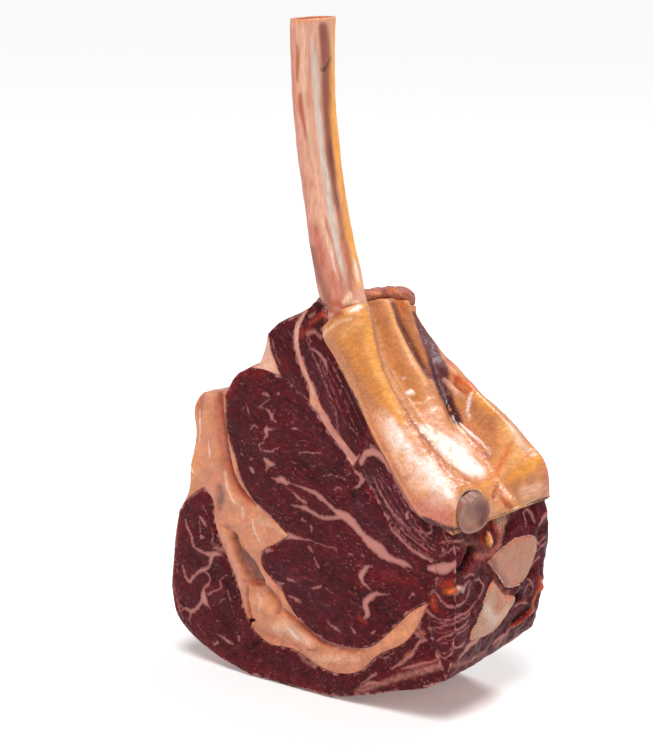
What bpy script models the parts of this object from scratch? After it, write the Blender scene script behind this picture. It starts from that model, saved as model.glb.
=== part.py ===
"""Raw tomahawk steak: a thick beef rib steak on its long, bare rib bone.

The steak stands on its fat-cap edge with the bone pointing up. Its cut faces look
along -Y (front) and +Y (back), the rib side slopes up to the bone on the +X side and
the chine face, where the backbone was sawn off, looks along +X. The origin is on the
surface it stands on, under the middle of the whole.

The cut face is a jigsaw of muscles and fat. Each seam between two of them is one
smooth curve in the X-Z plane, and each muscle or fat is a loop of such seams that
runs through the steak from the front face to the back face.
"""
import math

import bmesh
import bpy
import numpy as np
from mathutils import Vector
from mathutils.geometry import delaunay_2d_cdt

MM = 0.001

# ---- driving dimensions (metres) -----------------------------------------------------
THICKNESS = 0.075                 # along Y, cut face to cut face
GAP = 0.0003                      # clearance between two pieces that touch
SEAM_STEP = 0.0065                # spacing of the points along a seam
FACE_STEP = 0.0105                # spacing of the points inside a cut face
RIM = 0.0018                      # how far the rim of a cut face is rounded off
RIM_DEPTH = 0.0042                # how far that rounding reaches inwards
SWELL = 0.001                     # the sides bulge this much beyond the outlines below
SWELL_START = 0.004               # but not this close under the rib side
SWELL_EASE = 0.008                # and fully this much further down
REST = -0.0026                    # level of the surface it stands on, in the outlines below
SEAM_DIP = 0.0008                 # the cut faces dip this much at their seams
CROWN_REACH = 0.005               # and are back to full height this far inside a piece
RIB_GRID = 0.0042                 # spacing of the cuts that carry the rib-side ridges
FRONT = -THICKNESS / 2
BACK = THICKNESS / 2
SLABS = [FRONT, FRONT + RIM_DEPTH, -0.020, 0.0, 0.020, BACK - RIM_DEPTH, BACK]

# ---- seams in the cut face: (x, z) in millimetres ------------------------------------
SEAMS = {
    # outer edge of the cut face, clockwise from the left
    "lip_out": [(-83, 73), (-76, 84), (-74, 97), (-70, 112), (-71, 126), (-66, 134.5),
                (-58, 136.5), (-51, 137)],
    "eye_out": [(-51, 137), (-46, 146), (-41, 150), (-36, 153)],
    "wedge_out": [(-36, 153), (-31, 155), (-27, 163), (-25, 171)],
    "outer_out": [(-25, 171), (-19, 176), (-10, 180), (-4, 184)],
    "line_out": [(-4, 184), (0, 186)],
    "inner_out": [(0, 186), (5, 190), (10.3, 188), (10.8, 182.3), (9, 177)],
    "chine_out": [(86, 92), (87, 80), (86, 65), (86.5, 50), (86, 38), (84.5, 29), (82, 22)],
    "cap_bottom": [(82, 22), (69, 14.5), (55, 10), (39, 5), (24, 0.5), (12, -2)],
    "cap_rest": [(12, -2), (-38, -2)],
    "cap_left": [(-38, -2), (-46, 0), (-58, 3), (-74, 10), (-84, 18), (-88, 30), (-88, 42),
                 (-86, 60), (-83, 73)],
    # seams inside
    "cap_shoulder": [(-83, 73), (-75, 81), (-66, 87)],
    "cap_inner": [(-66, 87), (-60, 82), (-59, 70), (-52, 56), (-45, 43), (-40, 31), (-34, 22),
                  (-24, 17), (-8, 17), (6, 12), (20, 11), (32, 15), (43, 25), (57, 34),
                  (65, 45), (70, 57)],
    "eye_left": [(-51, 137), (-50, 120), (-45, 108), (-41, 97), (-34, 88), (-24, 82), (-12, 74)],
    "eye_bottom": [(-12, 74), (-21, 68), (-28, 64), (-30, 57), (-24, 51), (-17, 46), (-9, 36),
                   (2, 29), (14, 25), (26, 25), (38, 28), (48, 37), (60, 50), (70, 57)],
    "eye_wedge": [(-36, 153), (-26, 152.5), (-17, 151)],
    "wedge_outer": [(-17, 151), (-20, 157), (-23, 163), (-25, 171)],
    "eye_outer": [(-17, 151), (-11, 148), (-5, 144), (1.5, 140)],
    "outer_line": [(-4, 184), (-8.5, 176), (-9, 167), (-5.5, 157), (0, 148), (1.5, 140)],
    "eye_line": [(1.5, 140), (8.5, 132.5), (15.5, 125), (22.5, 118.5), (28, 112.5)],
    "line_deep": [(28, 112.5), (31, 117)],
    "line_inner": [(31, 117), (26.5, 120.5), (19, 127), (12.5, 134), (7.5, 141), (2.5, 149.5),
                   (-2.5, 158), (-6, 167), (-5, 176), (0, 186)],
    "inner_deep": [(31, 117), (34, 121.5), (39, 124), (45, 122), (53, 113.5)],
    "inner_rib": [(9, 177), (10, 171), (17, 162.5), (26, 149.5), (34, 138.5), (42, 127.5),
                  (49, 119), (53, 113.5)],
    "deep_rib": [(53, 113.5), (58, 107.5), (63, 101.5), (68, 97), (72, 95), (77, 95)],
    "eye_deep": [(28, 112.5), (34, 109), (40, 103), (46, 95), (53, 87.5), (61, 82), (74, 77)],
    "deep_chine": [(77, 95), (81, 91), (80, 84), (74, 77)],
    "eye_chine": [(74, 77), (75.5, 69), (70, 57)],
    "cap_chine": [(70, 57), (71, 50), (72.5, 43), (76, 34.5), (79.5, 28), (82, 22)],
    "rib_chine": [(77, 95), (82, 93.5), (86, 92)],
}
# a leading minus walks a seam backwards
LOOPS = {
    "rib_cap": ["cap_shoulder", "cap_inner", "cap_chine", "cap_bottom", "cap_rest", "cap_left"],
    "seam_fat": ["lip_out", "eye_left", "eye_bottom", "-cap_inner", "-cap_shoulder"],
    "rib_eye": ["eye_out", "eye_wedge", "eye_outer", "eye_line", "eye_deep", "eye_chine",
                "-eye_bottom", "-eye_left"],
    "top_fat": ["wedge_out", "-wedge_outer", "-eye_wedge"],
    "outer_strip": ["outer_out", "outer_line", "-eye_outer", "wedge_outer"],
    "strip_fat": ["line_out", "-line_inner", "-line_deep", "-eye_line", "-outer_line"],
    "inner_strip": ["inner_out", "inner_rib", "-inner_deep", "line_inner"],
    "deep_muscle": ["line_deep", "inner_deep", "deep_rib", "deep_chine", "-eye_deep"],
    "chine_meat": ["rib_chine", "chine_out", "-cap_chine", "-eye_chine", "-deep_chine"],
}

# how far the edge of the back face lies from that of the front face: (x, z), (dx, dz) in mm
BACK_SHIFT = [
    ((-25, 171), (0, 8)), ((-15, 178), (0, 4)), ((-4, 184), (0, 0)), ((10, 188), (-5, -18)),
    ((-55, 140), (3, -3)), ((-83, 73), (4, 0)), ((-87, 40), (5, 2)), ((-78, 14), (5, 1)),
    ((82, 22), (-5, 16)), ((86, 48), (1, -1)), ((87, 82), (6, 0)), ((69, 15), (1, 6)), ((55, 10), (1, 0)),
    ((39, 5), (0, -5)), ((21, 0), (0, 0)), ((-10, 0), (0, 0)), ((-42, 0), (0, 0)),
    ((30, 155), (0, 0)), ((60, 125), (0, 0)), ((84, 103), (-4, 0)), ((-20, 120), (0, 0)),
    ((20, 80), (0, 0)), ((-40, 60), (0, 0)), ((50, 60), (0, 0)), ((10, 35), (0, 0)),
]
SHIFT_REACH = 0.018
SHIFT_EASE = 0.25                 # how quickly those shifts die away from their places
# between the faces the fat of the rib side climbs up behind the bone
CLIMB_PLACE = (10, 176)           # (x, z) in mm
CLIMB_REACH = 0.0078
CLIMB = [(-37.5, 0), (-33, 2.5), (-26, 5), (-18, 7.2), (-8, 8.4), (2, 8.4), (20, 7.6), (33, 4),
         (37.5, 3)]                # (y, rise) in mm

# ---- rib side: heights over the sloping plane from the top corner to the chine corner --
RIB_TOP = Vector((0.010, 0.175))
RIB_ALONG = Vector((math.sqrt(0.5), -math.sqrt(0.5)))
RIB_OUT = Vector((math.sqrt(0.5), math.sqrt(0.5)))
RIB_PLAIN = 0.002                 # height of the side before its ridges are raised
RIB_CORNER = [(104, 2), (108.5, 0.5), (112.4, -4.9)]      # (along, height) in mm
CHINE_LINE = 0.1083               # the side stops where along plus height reach this far
CORNER_ROUND = 0.006              # and turns down into the chine face within this
VALLEY = -0.0045                  # level of the side between its ridges
# heights of the front and back edges of the side: (along, height) in mm
FRONT_EDGE = [(-3, 3.5), (13, 1.4), (32, -2.8), (49, -7.8), (66, -10), (80, -12), (93, -12),
              (101, -8), (106, -1)]
BACK_EDGE = [(-3, -1), (17, -1), (28, -2), (40, -2), (54, 0), (68, 4), (81, 5.4), (95, 7.3),
             (106, 7.3)]
FRONT_RAMP = [(78, 4), (93, 1.5)]  # the front edge rises to the first ridge within this
FRONT_CUT = 0.0016                # and a grid cut lies this far behind the front face
BACK_RAMP = 0.018
LEAST_SKIN = 0.0016               # the side is nowhere thinner than this
# ridges and hollows of the side, each with its crest (along, y), its height (along, height)
# and its half width (along, width) in mm, and how square its shoulders are
RIDGES = {
    "over_bone": ([(-3, -21), (15, -23), (45, -24.5), (75, -25), (106, -24)],
                  [(-3, 19.5), (4, 17.5), (10, 14.5), (17, 12), (30, 9.3), (50, 7.8), (75, 8.2), (88, 10),
                   (96, 11.7), (104, 12.5)],
                  [(-3, 16), (15, 13), (45, 11.5), (80, 11.5), (96, 16)], 4),
    "second": ([(-3, 11), (10, 8), (24, 4.5), (37, 2.5), (48, 0), (60, -2), (106, 0)],
               [(-3, 14), (8, 10), (20, 8.5), (50, 6.5), (80, 4), (106, 4)],
               [(0, 7.5), (40, 9), (80, 10)], 3),
    "third": ([(-3, 27), (7, 25), (24, 22), (37, 19), (50, 17)],
              [(-3, 11), (8, 7), (24, 5.5), (40, 3), (55, 0)], [(0, 3.5), (50, 3.5)], 2),
    "hollow": ([(20, 25), (45, 19), (70, 14)],
               [(20, 0), (35, -3), (55, -3.5), (75, 0)], [(0, 6), (60, 6)], 2),
    "back_ridge": ([(30, 33), (50, 30), (80, 27), (106, 22)],
                   [(25, 0), (45, 5), (80, 8), (95, 8), (106, 6)], [(0, 6.5), (60, 6.5)], 2),
}

# ---- rib bone: centre line (x, z), middle in Y, half width and half thickness, in mm ---
BONE_PATH = [(-10, 317), (-10, 298), (-8.8, 275), (-6, 252), (-2.2, 232), (1.6, 213), (5.4, 199),
             (8.6, 188), (11.9, 179.5), (16.8, 170), (23.5, 159.5), (32.5, 148), (45, 134.5),
             (57, 122.5), (69, 111.5), (79, 104), (88, 98), (97, 92)]
BONE_MIDDLE = [(317, -20), (200, -20), (185, -20.5), (150, -22.5), (112, -23), (98, -23.5)]
BONE_WIDTH = [(317, 14), (275, 13.3), (235, 13.1), (212, 13.9), (198, 15), (186, 14.6), (170, 12),
              (150, 10), (112, 9.5), (103, 10.5), (98, 12)]
BONE_THICK = [(317, 6.3), (250, 6), (195, 6), (180, 5.6), (165, 5.2), (112, 5), (98, 7)]
BONE_END = 0.0875                 # the chine saw cut through the bone, along X
BONE_STEP = 0.0125
BONE_SIDES = 14
BONE_SQUARE = 0.85                # below 1 the section is squarer than an ellipse
BONE_GROOVE = 0.0012              # depth of the groove along its outer side
GROOVE_WIDTH = 0.35               # as a share of the half width

# ---- bones that show in the chine face: (y, z) in millimetres -------------------------
VERTEBRA = [(-12, 73), (-3, 77.5), (10, 80), (24, 78), (27, 69), (21, 59), (12, 55.5),
            (3, 57.5), (-4, 65)]
FEATHER = [(-7.5, 63.5), (-13, 58), (-20, 48), (-25, 39), (-7, 38), (6, 44.5), (11.5, 50.5),
           (1.5, 54.5)]
CHINE_DEPTH = 0.009               # how deep both run into the meat
CHINE_PROUD = 0.0006              # and how far they stand out of it
CHINE_STEP = 0.006
CHINE_CROWN = 0.82                # share of their outline that is flat
CHINE_EDGE = 0.0010               # how far their rim falls back
CHINE_TAPER = 0.85                # size of their hidden end
CHINE_CLEAR = 12                  # their seat reaches out of the face by this many gaps
CHINE_ROOM = 2                    # and leaves this many gaps behind their hidden end

RESTING_BAND = 0.0006             # what is less than this over the surface is pressed flat

# soft hand-cut waviness: height, waves per metre (times 2 pi) across and along, and offset
WAVE = 0.0008
WAVE_IN_X = (55, 40)
WAVE_IN_Z = (60, 35, 1.0)
STILL_BELOW = 0.006               # no waves down here
STILL_REACH = 0.03

MIDDLE = (0.0, 0.085)             # the middle of the cut face, as (x, z)
ON_EDGE = 0.0008                  # a point this close to the outer edge counts as on it
CLEAR_OF_EDGE = 0.55              # face points keep this share of their spacing from it
SAME_CUT = 0.0008                 # a grid cut this close to a corner goes through it
UNSEEN_FINISH = ((0.5, 0.5, 0.5), 0.5)

COLOURS = {
    "rib_bone": ((0.68, 0.40, 0.31), 0.40),
    "rib_eye": ((0.13, 0.014, 0.018), 0.35),
    "rib_cap": ((0.12, 0.015, 0.020), 0.35),
    "seam_fat": ((0.73, 0.31, 0.17), 0.40),
    "top_fat": ((0.74, 0.37, 0.23), 0.40),
    "outer_strip": ((0.12, 0.012, 0.016), 0.35),
    "strip_fat": ((0.63, 0.26, 0.18), 0.40),
    "inner_strip": ((0.11, 0.012, 0.015), 0.35),
    "deep_muscle": ((0.15, 0.020, 0.022), 0.35),
    "chine_meat": ((0.20, 0.035, 0.030), 0.35),
    "rib_side_fat": ((0.62, 0.33, 0.12), 0.35),
    "vertebra_bone": ((0.50, 0.27, 0.18), 0.45),
    "feather_bone": ((0.65, 0.40, 0.28), 0.45),
}


def clear_scene():
    """Remove every object of the starting scene."""
    for thing in list(bpy.data.objects):
        bpy.data.objects.remove(thing, do_unlink=True)


def smooth_curve(points, step):
    """Even points along a smooth curve through the given ones (all in metres)."""
    pts = np.array(points, float)
    if len(pts) > 2:
        first = 2 * pts[0] - pts[1]
        last = 2 * pts[-1] - pts[-2]
        padded = np.vstack([first, pts, last])
        fine = []
        for a, b, c, d in zip(padded, padded[1:], padded[2:], padded[3:]):
            for t in np.arange(0, 1, 0.05):
                bend = 2 * a - 5 * b + 4 * c - d
                twist = 3 * b - a - 3 * c + d
                fine.append(0.5 * (2 * b + (c - a) * t + bend * t ** 2 + twist * t ** 3))
        pts = np.array(fine + [pts[-1]])
    run = np.concatenate([[0], np.cumsum(np.linalg.norm(np.diff(pts, axis=0), axis=1))])
    count = max(1, round(run[-1] / step))
    even = np.linspace(0, run[-1], count + 1)
    return np.column_stack([np.interp(even, run, pts[:, k]) for k in range(pts.shape[1])])


def seam(name):
    """A seam by its name, walked backwards after a minus sign."""
    points = smooth_curve(np.array(SEAMS[name.lstrip("-")]) * MM, SEAM_STEP)
    return points[::-1] if name.startswith("-") else points


def closed_loop(names):
    """The closed outline made by a chain of seams."""
    return np.vstack([seam(name)[:-1] for name in names])


def on_rib(x, z):
    """Place along the rib side and height over it."""
    dx = x - RIB_TOP.x
    dz = z - RIB_TOP.y
    return dx * RIB_ALONG.x + dz * RIB_ALONG.y, dx * RIB_OUT.x + dz * RIB_OUT.y


def off_rib(along, height):
    """The (x, z) of a place along the rib side and a height over it."""
    return (RIB_TOP.x + along * RIB_ALONG.x + height * RIB_OUT.x,
            RIB_TOP.y + along * RIB_ALONG.y + height * RIB_OUT.y)


def rib_loop():
    """Outline of the fat and skin on the rib side, before its ridges are raised."""
    inner = np.vstack([seam("inner_rib")[:-1], seam("deep_rib")[:-1], seam("rib_chine")])
    start = on_rib(*inner[0])[0]
    corner = [off_rib(a * MM, h * MM) for a, h in RIB_CORNER]
    top = off_rib(start, RIB_PLAIN)
    outer = np.vstack([smooth_curve([top, corner[0]], SEAM_STEP), corner[1:-1]])
    return np.vstack([inner, outer[::-1]])


def smoothstep(t):
    """0 to 1 with soft ends."""
    t = np.clip(t, 0, 1)
    return t * t * (3 - 2 * t)


def table(values, where):
    """Straight-line reading of a list of (place, value) in millimetres, in metres."""
    places, heights = zip(*sorted(values))
    return np.interp(where, np.array(places) * MM, np.array(heights) * MM)


def lesser(a, b, reach):
    """The lesser of two heights, with a soft change from one to the other."""
    share = np.clip(0.5 + (b - a) / (2 * reach), 0, 1)
    return b + (a - b) * share - reach * share * (1 - share)


def rib_height(along, y):
    """Height of the rib side over its sloping plane."""
    front = table(FRONT_EDGE, along)
    back = table(BACK_EDGE, along)
    level = VALLEY + (back - VALLEY) * smoothstep((y - BACK) / BACK_RAMP + 1)
    for crest, rise, width, square in RIDGES.values():
        across = np.abs(y - table(crest, along)) / table(width, along)
        level = level + table(rise, along) * np.exp(-across ** square)
    level = front + (level - front) * smoothstep((y - FRONT) / table(FRONT_RAMP, along))
    return lesser(level, CHINE_LINE - along, CORNER_ROUND)


def raise_ridges(points):
    """Stretch the plain rib side out to its ridges; its inner seam stays."""
    inner = np.vstack([seam("inner_rib"), seam("deep_rib"), seam("rib_chine")])
    seam_along, seam_height = on_rib(inner[:, 0], inner[:, 1])
    along, height = on_rib(points[:, 0], points[:, 2])
    floor = np.interp(along, seam_along, seam_height)
    share = np.clip((height - floor) / (RIB_PLAIN - floor), 0, 1)
    skin = np.maximum(rib_height(along, points[:, 1]) - floor, LEAST_SKIN)
    height = np.where(height > floor, floor + share * skin, height)
    points[:, 0], points[:, 2] = off_rib(along, height)


def outer_edge():
    """The outer edge of the whole cut face as one closed loop."""
    rib = rib_loop()
    inner_count = sum(len(seam(name)) for name in ("inner_rib", "deep_rib", "rib_chine")) - 2
    rib_side = rib[inner_count - 1:][::-1]
    parts = [seam(name)[:-1] for name in ("lip_out", "eye_out", "wedge_out", "outer_out",
                                          "line_out", "inner_out")]
    parts.append(rib_side)
    parts += [seam(name)[:-1] for name in ("chine_out", "cap_bottom", "cap_rest", "cap_left")]
    return np.vstack(parts)


def nearest_on_loop(points, loop):
    """Distance from each 2-D point to a closed loop, and the direction away from it."""
    start = loop
    step = np.roll(loop, -1, axis=0) - start
    length2 = np.maximum((step ** 2).sum(axis=1), 1e-18)
    rel = points[:, None, :] - start[None]
    t = np.clip((rel * step).sum(axis=2) / length2, 0, 1)
    away = rel - t[..., None] * step
    far = np.linalg.norm(away, axis=2)
    best = far.argmin(axis=1)
    row = np.arange(len(points))
    return far[row, best], away[row, best]


def shape_along(points):
    """Shift the sections between the faces and at the back, which differ from the front's."""
    along_y = (points[:, 1] - FRONT) / THICKNESS
    flat = points[:, [0, 2]]
    places = np.array([place for place, _ in BACK_SHIFT]) * MM
    shifts = np.array([shift for _, shift in BACK_SHIFT]) * MM
    far2 = ((flat[:, None, :] - places[None]) ** 2).sum(axis=2)
    weight = np.exp(-far2 / (2 * SHIFT_REACH ** 2)) + 1e-9
    shift = (weight @ shifts) / (weight.sum(axis=1)[:, None] + SHIFT_EASE)
    points[:, [0, 2]] = flat + shift * along_y[:, None]
    near2 = ((flat - np.array(CLIMB_PLACE) * MM) ** 2).sum(axis=1)
    points[:, 2] += table(CLIMB, points[:, 1]) * np.exp(-near2 / (2 * CLIMB_REACH ** 2))


def round_rims(points, edge):
    """Pull the rims of both cut faces in towards the meat, and let the sides bulge."""
    depth = np.minimum(points[:, 1] - FRONT, BACK - points[:, 1])
    under_rib = -on_rib(points[:, 0], points[:, 2])[1]
    bulge = SWELL * smoothstep((under_rib - SWELL_START) / SWELL_EASE)
    pull = RIM * (1 - smoothstep(depth / RIM_DEPTH)) - bulge
    far, away = nearest_on_loop(points[:, [0, 2]], edge)
    to_middle = np.array(MIDDLE) - points[:, [0, 2]]
    inward = np.where(far[:, None] > ON_EDGE, away / np.maximum(far, 1e-9)[:, None],
                      to_middle / np.linalg.norm(to_middle, axis=1)[:, None])
    share = np.exp(-far / RIM_DEPTH)
    points[:, [0, 2]] += inward * (pull * share)[:, None]


def undulate(points):
    """Soft hand-cut waviness of the whole, still where the steak rests."""
    x, y, z = points.T
    wave = WAVE * smoothstep((z - STILL_BELOW) / STILL_REACH)
    points[:, 0] += wave * np.sin(WAVE_IN_X[0] * z + WAVE_IN_X[1] * y)
    points[:, 2] += wave * np.sin(WAVE_IN_Z[0] * x + WAVE_IN_Z[1] * y + WAVE_IN_Z[2])


def dip_seams(points, loop):
    """Let both cut faces sink a little towards the edge of each piece."""
    far, _ = nearest_on_loop(points[:, [0, 2]], loop)
    dip = SEAM_DIP * np.exp(-far / CROWN_REACH)
    at_front = points[:, 1] < FRONT + 1e-6
    at_back = points[:, 1] > BACK - 1e-6
    points[:, 1] += np.where(at_front, dip, 0) - np.where(at_back, dip, 0)


def inset(loop, amount):
    """A closed loop moved inwards by an amount, with short mitres at its tips."""
    before = loop - np.roll(loop, 1, axis=0)
    after = np.roll(loop, -1, axis=0) - loop
    before /= np.linalg.norm(before, axis=1)[:, None]
    after /= np.linalg.norm(after, axis=1)[:, None]
    area = np.sum(loop[:, 0] * np.roll(loop[:, 1], -1) - np.roll(loop[:, 0], -1) * loop[:, 1])
    side = 1 if area > 0 else -1
    normal_a = side * np.column_stack([-before[:, 1], before[:, 0]])
    normal_b = side * np.column_stack([-after[:, 1], after[:, 0]])
    middle = normal_a + normal_b
    middle /= np.maximum(np.linalg.norm(middle, axis=1), 0.2)[:, None]
    stretch = np.maximum((middle * normal_a).sum(axis=1), 0.25)
    return loop + middle * (amount / stretch)[:, None]


def inside(points, loop):
    """Which 2-D points lie inside a closed loop."""
    ahead = np.roll(loop, -1, axis=0)
    result = np.zeros(len(points), bool)
    for (x0, z0), (x1, z1) in zip(loop, ahead):
        crosses = (z0 > points[:, 1]) != (z1 > points[:, 1])
        if z0 != z1:
            at = (x1 - x0) * (points[:, 1] - z0) / (z1 - z0) + x0
            result ^= crosses & (points[:, 0] < at)
    return result


def face_points(loop, spacing):
    """Points of a hexagonal grid that lie well inside a loop."""
    low = loop.min(axis=0)
    high = loop.max(axis=0)
    rows = np.arange(low[1], high[1], spacing * math.sqrt(0.75))
    grid = []
    for number, z in enumerate(rows):
        shift = spacing / 2 * (number % 2)
        grid += [(x, z) for x in np.arange(low[0] + shift, high[0], spacing)]
    grid = np.array(grid)
    far, _ = nearest_on_loop(grid, loop)
    return grid[inside(grid, loop) & (far > spacing * CLEAR_OF_EDGE)]


def slab_mesh(loop, cuts, spacing):
    """A closed slab: the loop filled with a face mesh, drawn through from front to back."""
    extra = face_points(loop, spacing)
    flat = [Vector(p) for p in np.vstack([loop, extra])]
    verts, _, faces, *_ = delaunay_2d_cdt(flat, [], [list(range(len(loop)))], 1, 1e-7)
    bm = bmesh.new()
    made = [bm.verts.new((v.x, FRONT, v.y)) for v in verts]
    for face in faces:
        bm.faces.new([made[k] for k in face])
    drawn = bmesh.ops.extrude_face_region(bm, geom=bm.faces[:])
    moved = [g for g in drawn["geom"] if isinstance(g, bmesh.types.BMVert)]
    bmesh.ops.translate(bm, verts=moved, vec=(0, THICKNESS, 0))
    for y in cuts:
        everything = bm.verts[:] + bm.edges[:] + bm.faces[:]
        bmesh.ops.bisect_plane(bm, geom=everything, plane_co=(0, y, 0), plane_no=(0, 1, 0))
    bmesh.ops.recalc_face_normals(bm, faces=bm.faces[:])
    return bm


def split_quads(bm):
    """Split each side quad the same way on both sides of a seam, and the rest freely."""
    for face in [f for f in bm.faces if len(f.verts) == 4]:
        corners = sorted(face.verts, key=lambda v: v.co.y)
        low = min(corners[:2], key=lambda v: 0.83 * v.co.x + 0.56 * v.co.z)
        place = list(face.verts).index(low)
        bmesh.utils.face_split(face, low, face.verts[(place + 2) % 4])
    bmesh.ops.triangulate(bm, faces=[f for f in bm.faces if len(f.verts) > 3])


def read_points(bm):
    """All corner positions as an array."""
    return np.array([v.co[:] for v in bm.verts])


def write_points(bm, points):
    """Put an array of positions back on the corners."""
    for v, co in zip(bm.verts, points):
        v.co = co


def rest_flat(points):
    """Press what touches the surface flat."""
    points[:, 2] = np.where(points[:, 2] < REST + RESTING_BAND, REST, points[:, 2])


def finish_mesh(name, bm):
    """An object with its own material, from a closed bmesh, set down on the surface."""
    bmesh.ops.recalc_face_normals(bm, faces=bm.faces[:])
    bmesh.ops.translate(bm, verts=bm.verts[:], vec=(0, 0, -REST))
    mesh = bpy.data.meshes.new(name)
    bm.to_mesh(mesh)
    bm.free()
    mesh.shade_smooth()
    mesh.set_sharp_from_angle(angle=math.radians(50))
    thing = bpy.data.objects.new(name, mesh)
    bpy.context.scene.collection.objects.link(thing)
    colour, roughness = COLOURS.get(name, UNSEEN_FINISH)
    material = bpy.data.materials.new(name)
    material.use_nodes = True
    shader = material.node_tree.nodes["Principled BSDF"]
    shader.inputs["Base Color"].default_value = (*colour, 1)
    shader.inputs["Roughness"].default_value = roughness
    shader.inputs["Metallic"].default_value = 0
    mesh.materials.append(material)
    return thing


def meat_piece(name, edge):
    """One muscle or fat that runs through the steak."""
    is_rib = name == "rib_side_fat"
    outline = rib_loop() if is_rib else closed_loop(LOOPS[name])
    loop = inset(outline, GAP / 2)
    bm = slab_mesh(loop, SLABS[1:-1], FACE_STEP)
    if is_rib:
        for y in [FRONT + FRONT_CUT, *np.arange(FRONT + RIB_GRID, BACK, RIB_GRID)]:
            everything = bm.verts[:] + bm.edges[:] + bm.faces[:]
            bmesh.ops.bisect_plane(bm, geom=everything, plane_co=(0, y, 0),
                                   plane_no=(0, 1, 0), dist=SAME_CUT)
    points = read_points(bm)
    dip_seams(points, loop)
    if is_rib:
        raise_ridges(points)
    else:
        round_rims(points, edge)
    shape_along(points)
    undulate(points)
    rest_flat(points)
    write_points(bm, points)
    split_quads(bm)
    return finish_mesh(name, bm)


def bone_shape(name, grow):
    """The rib bone from its sawn end down to the chine face, grown all round."""
    path = smooth_curve(np.array(BONE_PATH) * MM, BONE_STEP)
    tangent = np.gradient(path, axis=0)
    tangent /= np.linalg.norm(tangent, axis=1)[:, None]
    path[0] -= tangent[0] * grow
    bm = bmesh.new()
    rings = []
    for (x, z), (tx, tz) in zip(path, tangent):
        middle = table(BONE_MIDDLE, z)
        half = table(BONE_WIDTH, z) + grow
        thick = table(BONE_THICK, z) + grow
        ring = []
        for k in range(BONE_SIDES):
            angle = 2 * math.pi * k / BONE_SIDES
            across = math.copysign(abs(math.cos(angle)) ** BONE_SQUARE, math.cos(angle))
            out = math.copysign(abs(math.sin(angle)) ** BONE_SQUARE, math.sin(angle))
            groove = BONE_GROOVE * math.exp(-(across / GROOVE_WIDTH) ** 2) if out > 0 else 0
            lift = thick * out - groove
            ring.append(bm.verts.new((x - tz * lift, middle + half * across, z + tx * lift)))
        rings.append(ring)
    for lower, upper in zip(rings, rings[1:]):
        for k in range(BONE_SIDES):
            ahead = (k + 1) % BONE_SIDES
            bm.faces.new((lower[k], lower[ahead], upper[ahead], upper[k]))
    bm.faces.new(rings[0])
    bm.faces.new(rings[-1][::-1])
    if not grow:
        everything = bm.verts[:] + bm.edges[:] + bm.faces[:]
        cut = bmesh.ops.bisect_plane(bm, geom=everything, plane_co=(BONE_END, 0, 0),
                                     plane_no=(1, 0, 0), clear_outer=True)
        rim = [g for g in cut["geom_cut"] if isinstance(g, bmesh.types.BMEdge)]
        bmesh.ops.edgenet_fill(bm, edges=rim)
    bmesh.ops.triangulate(bm, faces=bm.faces[:])
    return finish_mesh(name, bm)


def chine_skin(y, z):
    """Where the chine face lies along X at a place in it."""
    edge = seam("chine_out")[::-1]
    points = np.array([[np.interp(z, edge[:, 1], edge[:, 0]), y, z]])
    shape_along(points)
    undulate(points)
    return points[0, 0]


def chine_bone(name, outline, grow):
    """A bone that shows in the chine face: its outline drawn into the meat, tapering."""
    points = np.array(outline + outline[:1]) * MM
    loop = inset(smooth_curve(points, CHINE_STEP)[:-1], -grow)
    middle = loop.mean(axis=0)
    proud = CHINE_PROUD + grow * CHINE_CLEAR
    crown = 1 if grow else CHINE_CROWN
    bm = bmesh.new()
    rings = []
    for share, depth in ((crown, -proud), (1, CHINE_EDGE - CHINE_PROUD),
                         (CHINE_TAPER, CHINE_DEPTH + grow * CHINE_ROOM)):
        ring = []
        for y, z in middle + (loop - middle) * share:
            ring.append(bm.verts.new((chine_skin(y, z) - depth, y, z)))
        rings.append(ring)
    top = bm.verts.new((chine_skin(*middle) + proud, *middle))
    end = bm.verts.new((chine_skin(*middle) - CHINE_DEPTH - grow * CHINE_ROOM, *middle))
    count = len(loop)
    for k in range(count):
        ahead = (k + 1) % count
        bm.faces.new((rings[0][k], rings[0][ahead], top))
        for outer, inner in zip(rings, rings[1:]):
            bm.faces.new((outer[k], inner[k], inner[ahead], outer[ahead]))
        bm.faces.new((rings[-1][ahead], rings[-1][k], end))
    bmesh.ops.triangulate(bm, faces=bm.faces[:])
    return finish_mesh(name, bm)


def largest_body(thing):
    """Keep only the largest connected body of an object."""
    bm = bmesh.new()
    bm.from_mesh(thing.data)
    left = set(bm.verts)
    bodies = []
    while left:
        todo = [left.pop()]
        body = set(todo)
        while todo:
            v = todo.pop()
            for edge in v.link_edges:
                other = edge.other_vert(v)
                if other in left:
                    left.discard(other)
                    body.add(other)
                    todo.append(other)
        bodies.append(body)
    keep = max(bodies, key=len)
    bmesh.ops.delete(bm, geom=[v for v in bm.verts if v not in keep], context="VERTS")
    bmesh.ops.dissolve_degenerate(bm, dist=1e-6, edges=bm.edges[:])
    bmesh.ops.triangulate(bm, faces=bm.faces[:])
    bm.to_mesh(thing.data)
    bm.free()


def subtract(thing, cutter):
    """Take a cutter's shape out of an object."""
    cut = thing.modifiers.new("seat", "BOOLEAN")
    cut.operation = "DIFFERENCE"
    cut.solver = "EXACT"
    cut.object = cutter
    bpy.context.view_layer.update()
    graph = bpy.context.evaluated_depsgraph_get()
    mesh = bpy.data.meshes.new_from_object(thing.evaluated_get(graph))
    thing.modifiers.clear()
    old = thing.data
    thing.data = mesh
    name = old.name
    bpy.data.meshes.remove(old)
    mesh.name = name
    largest_body(thing)


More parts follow.
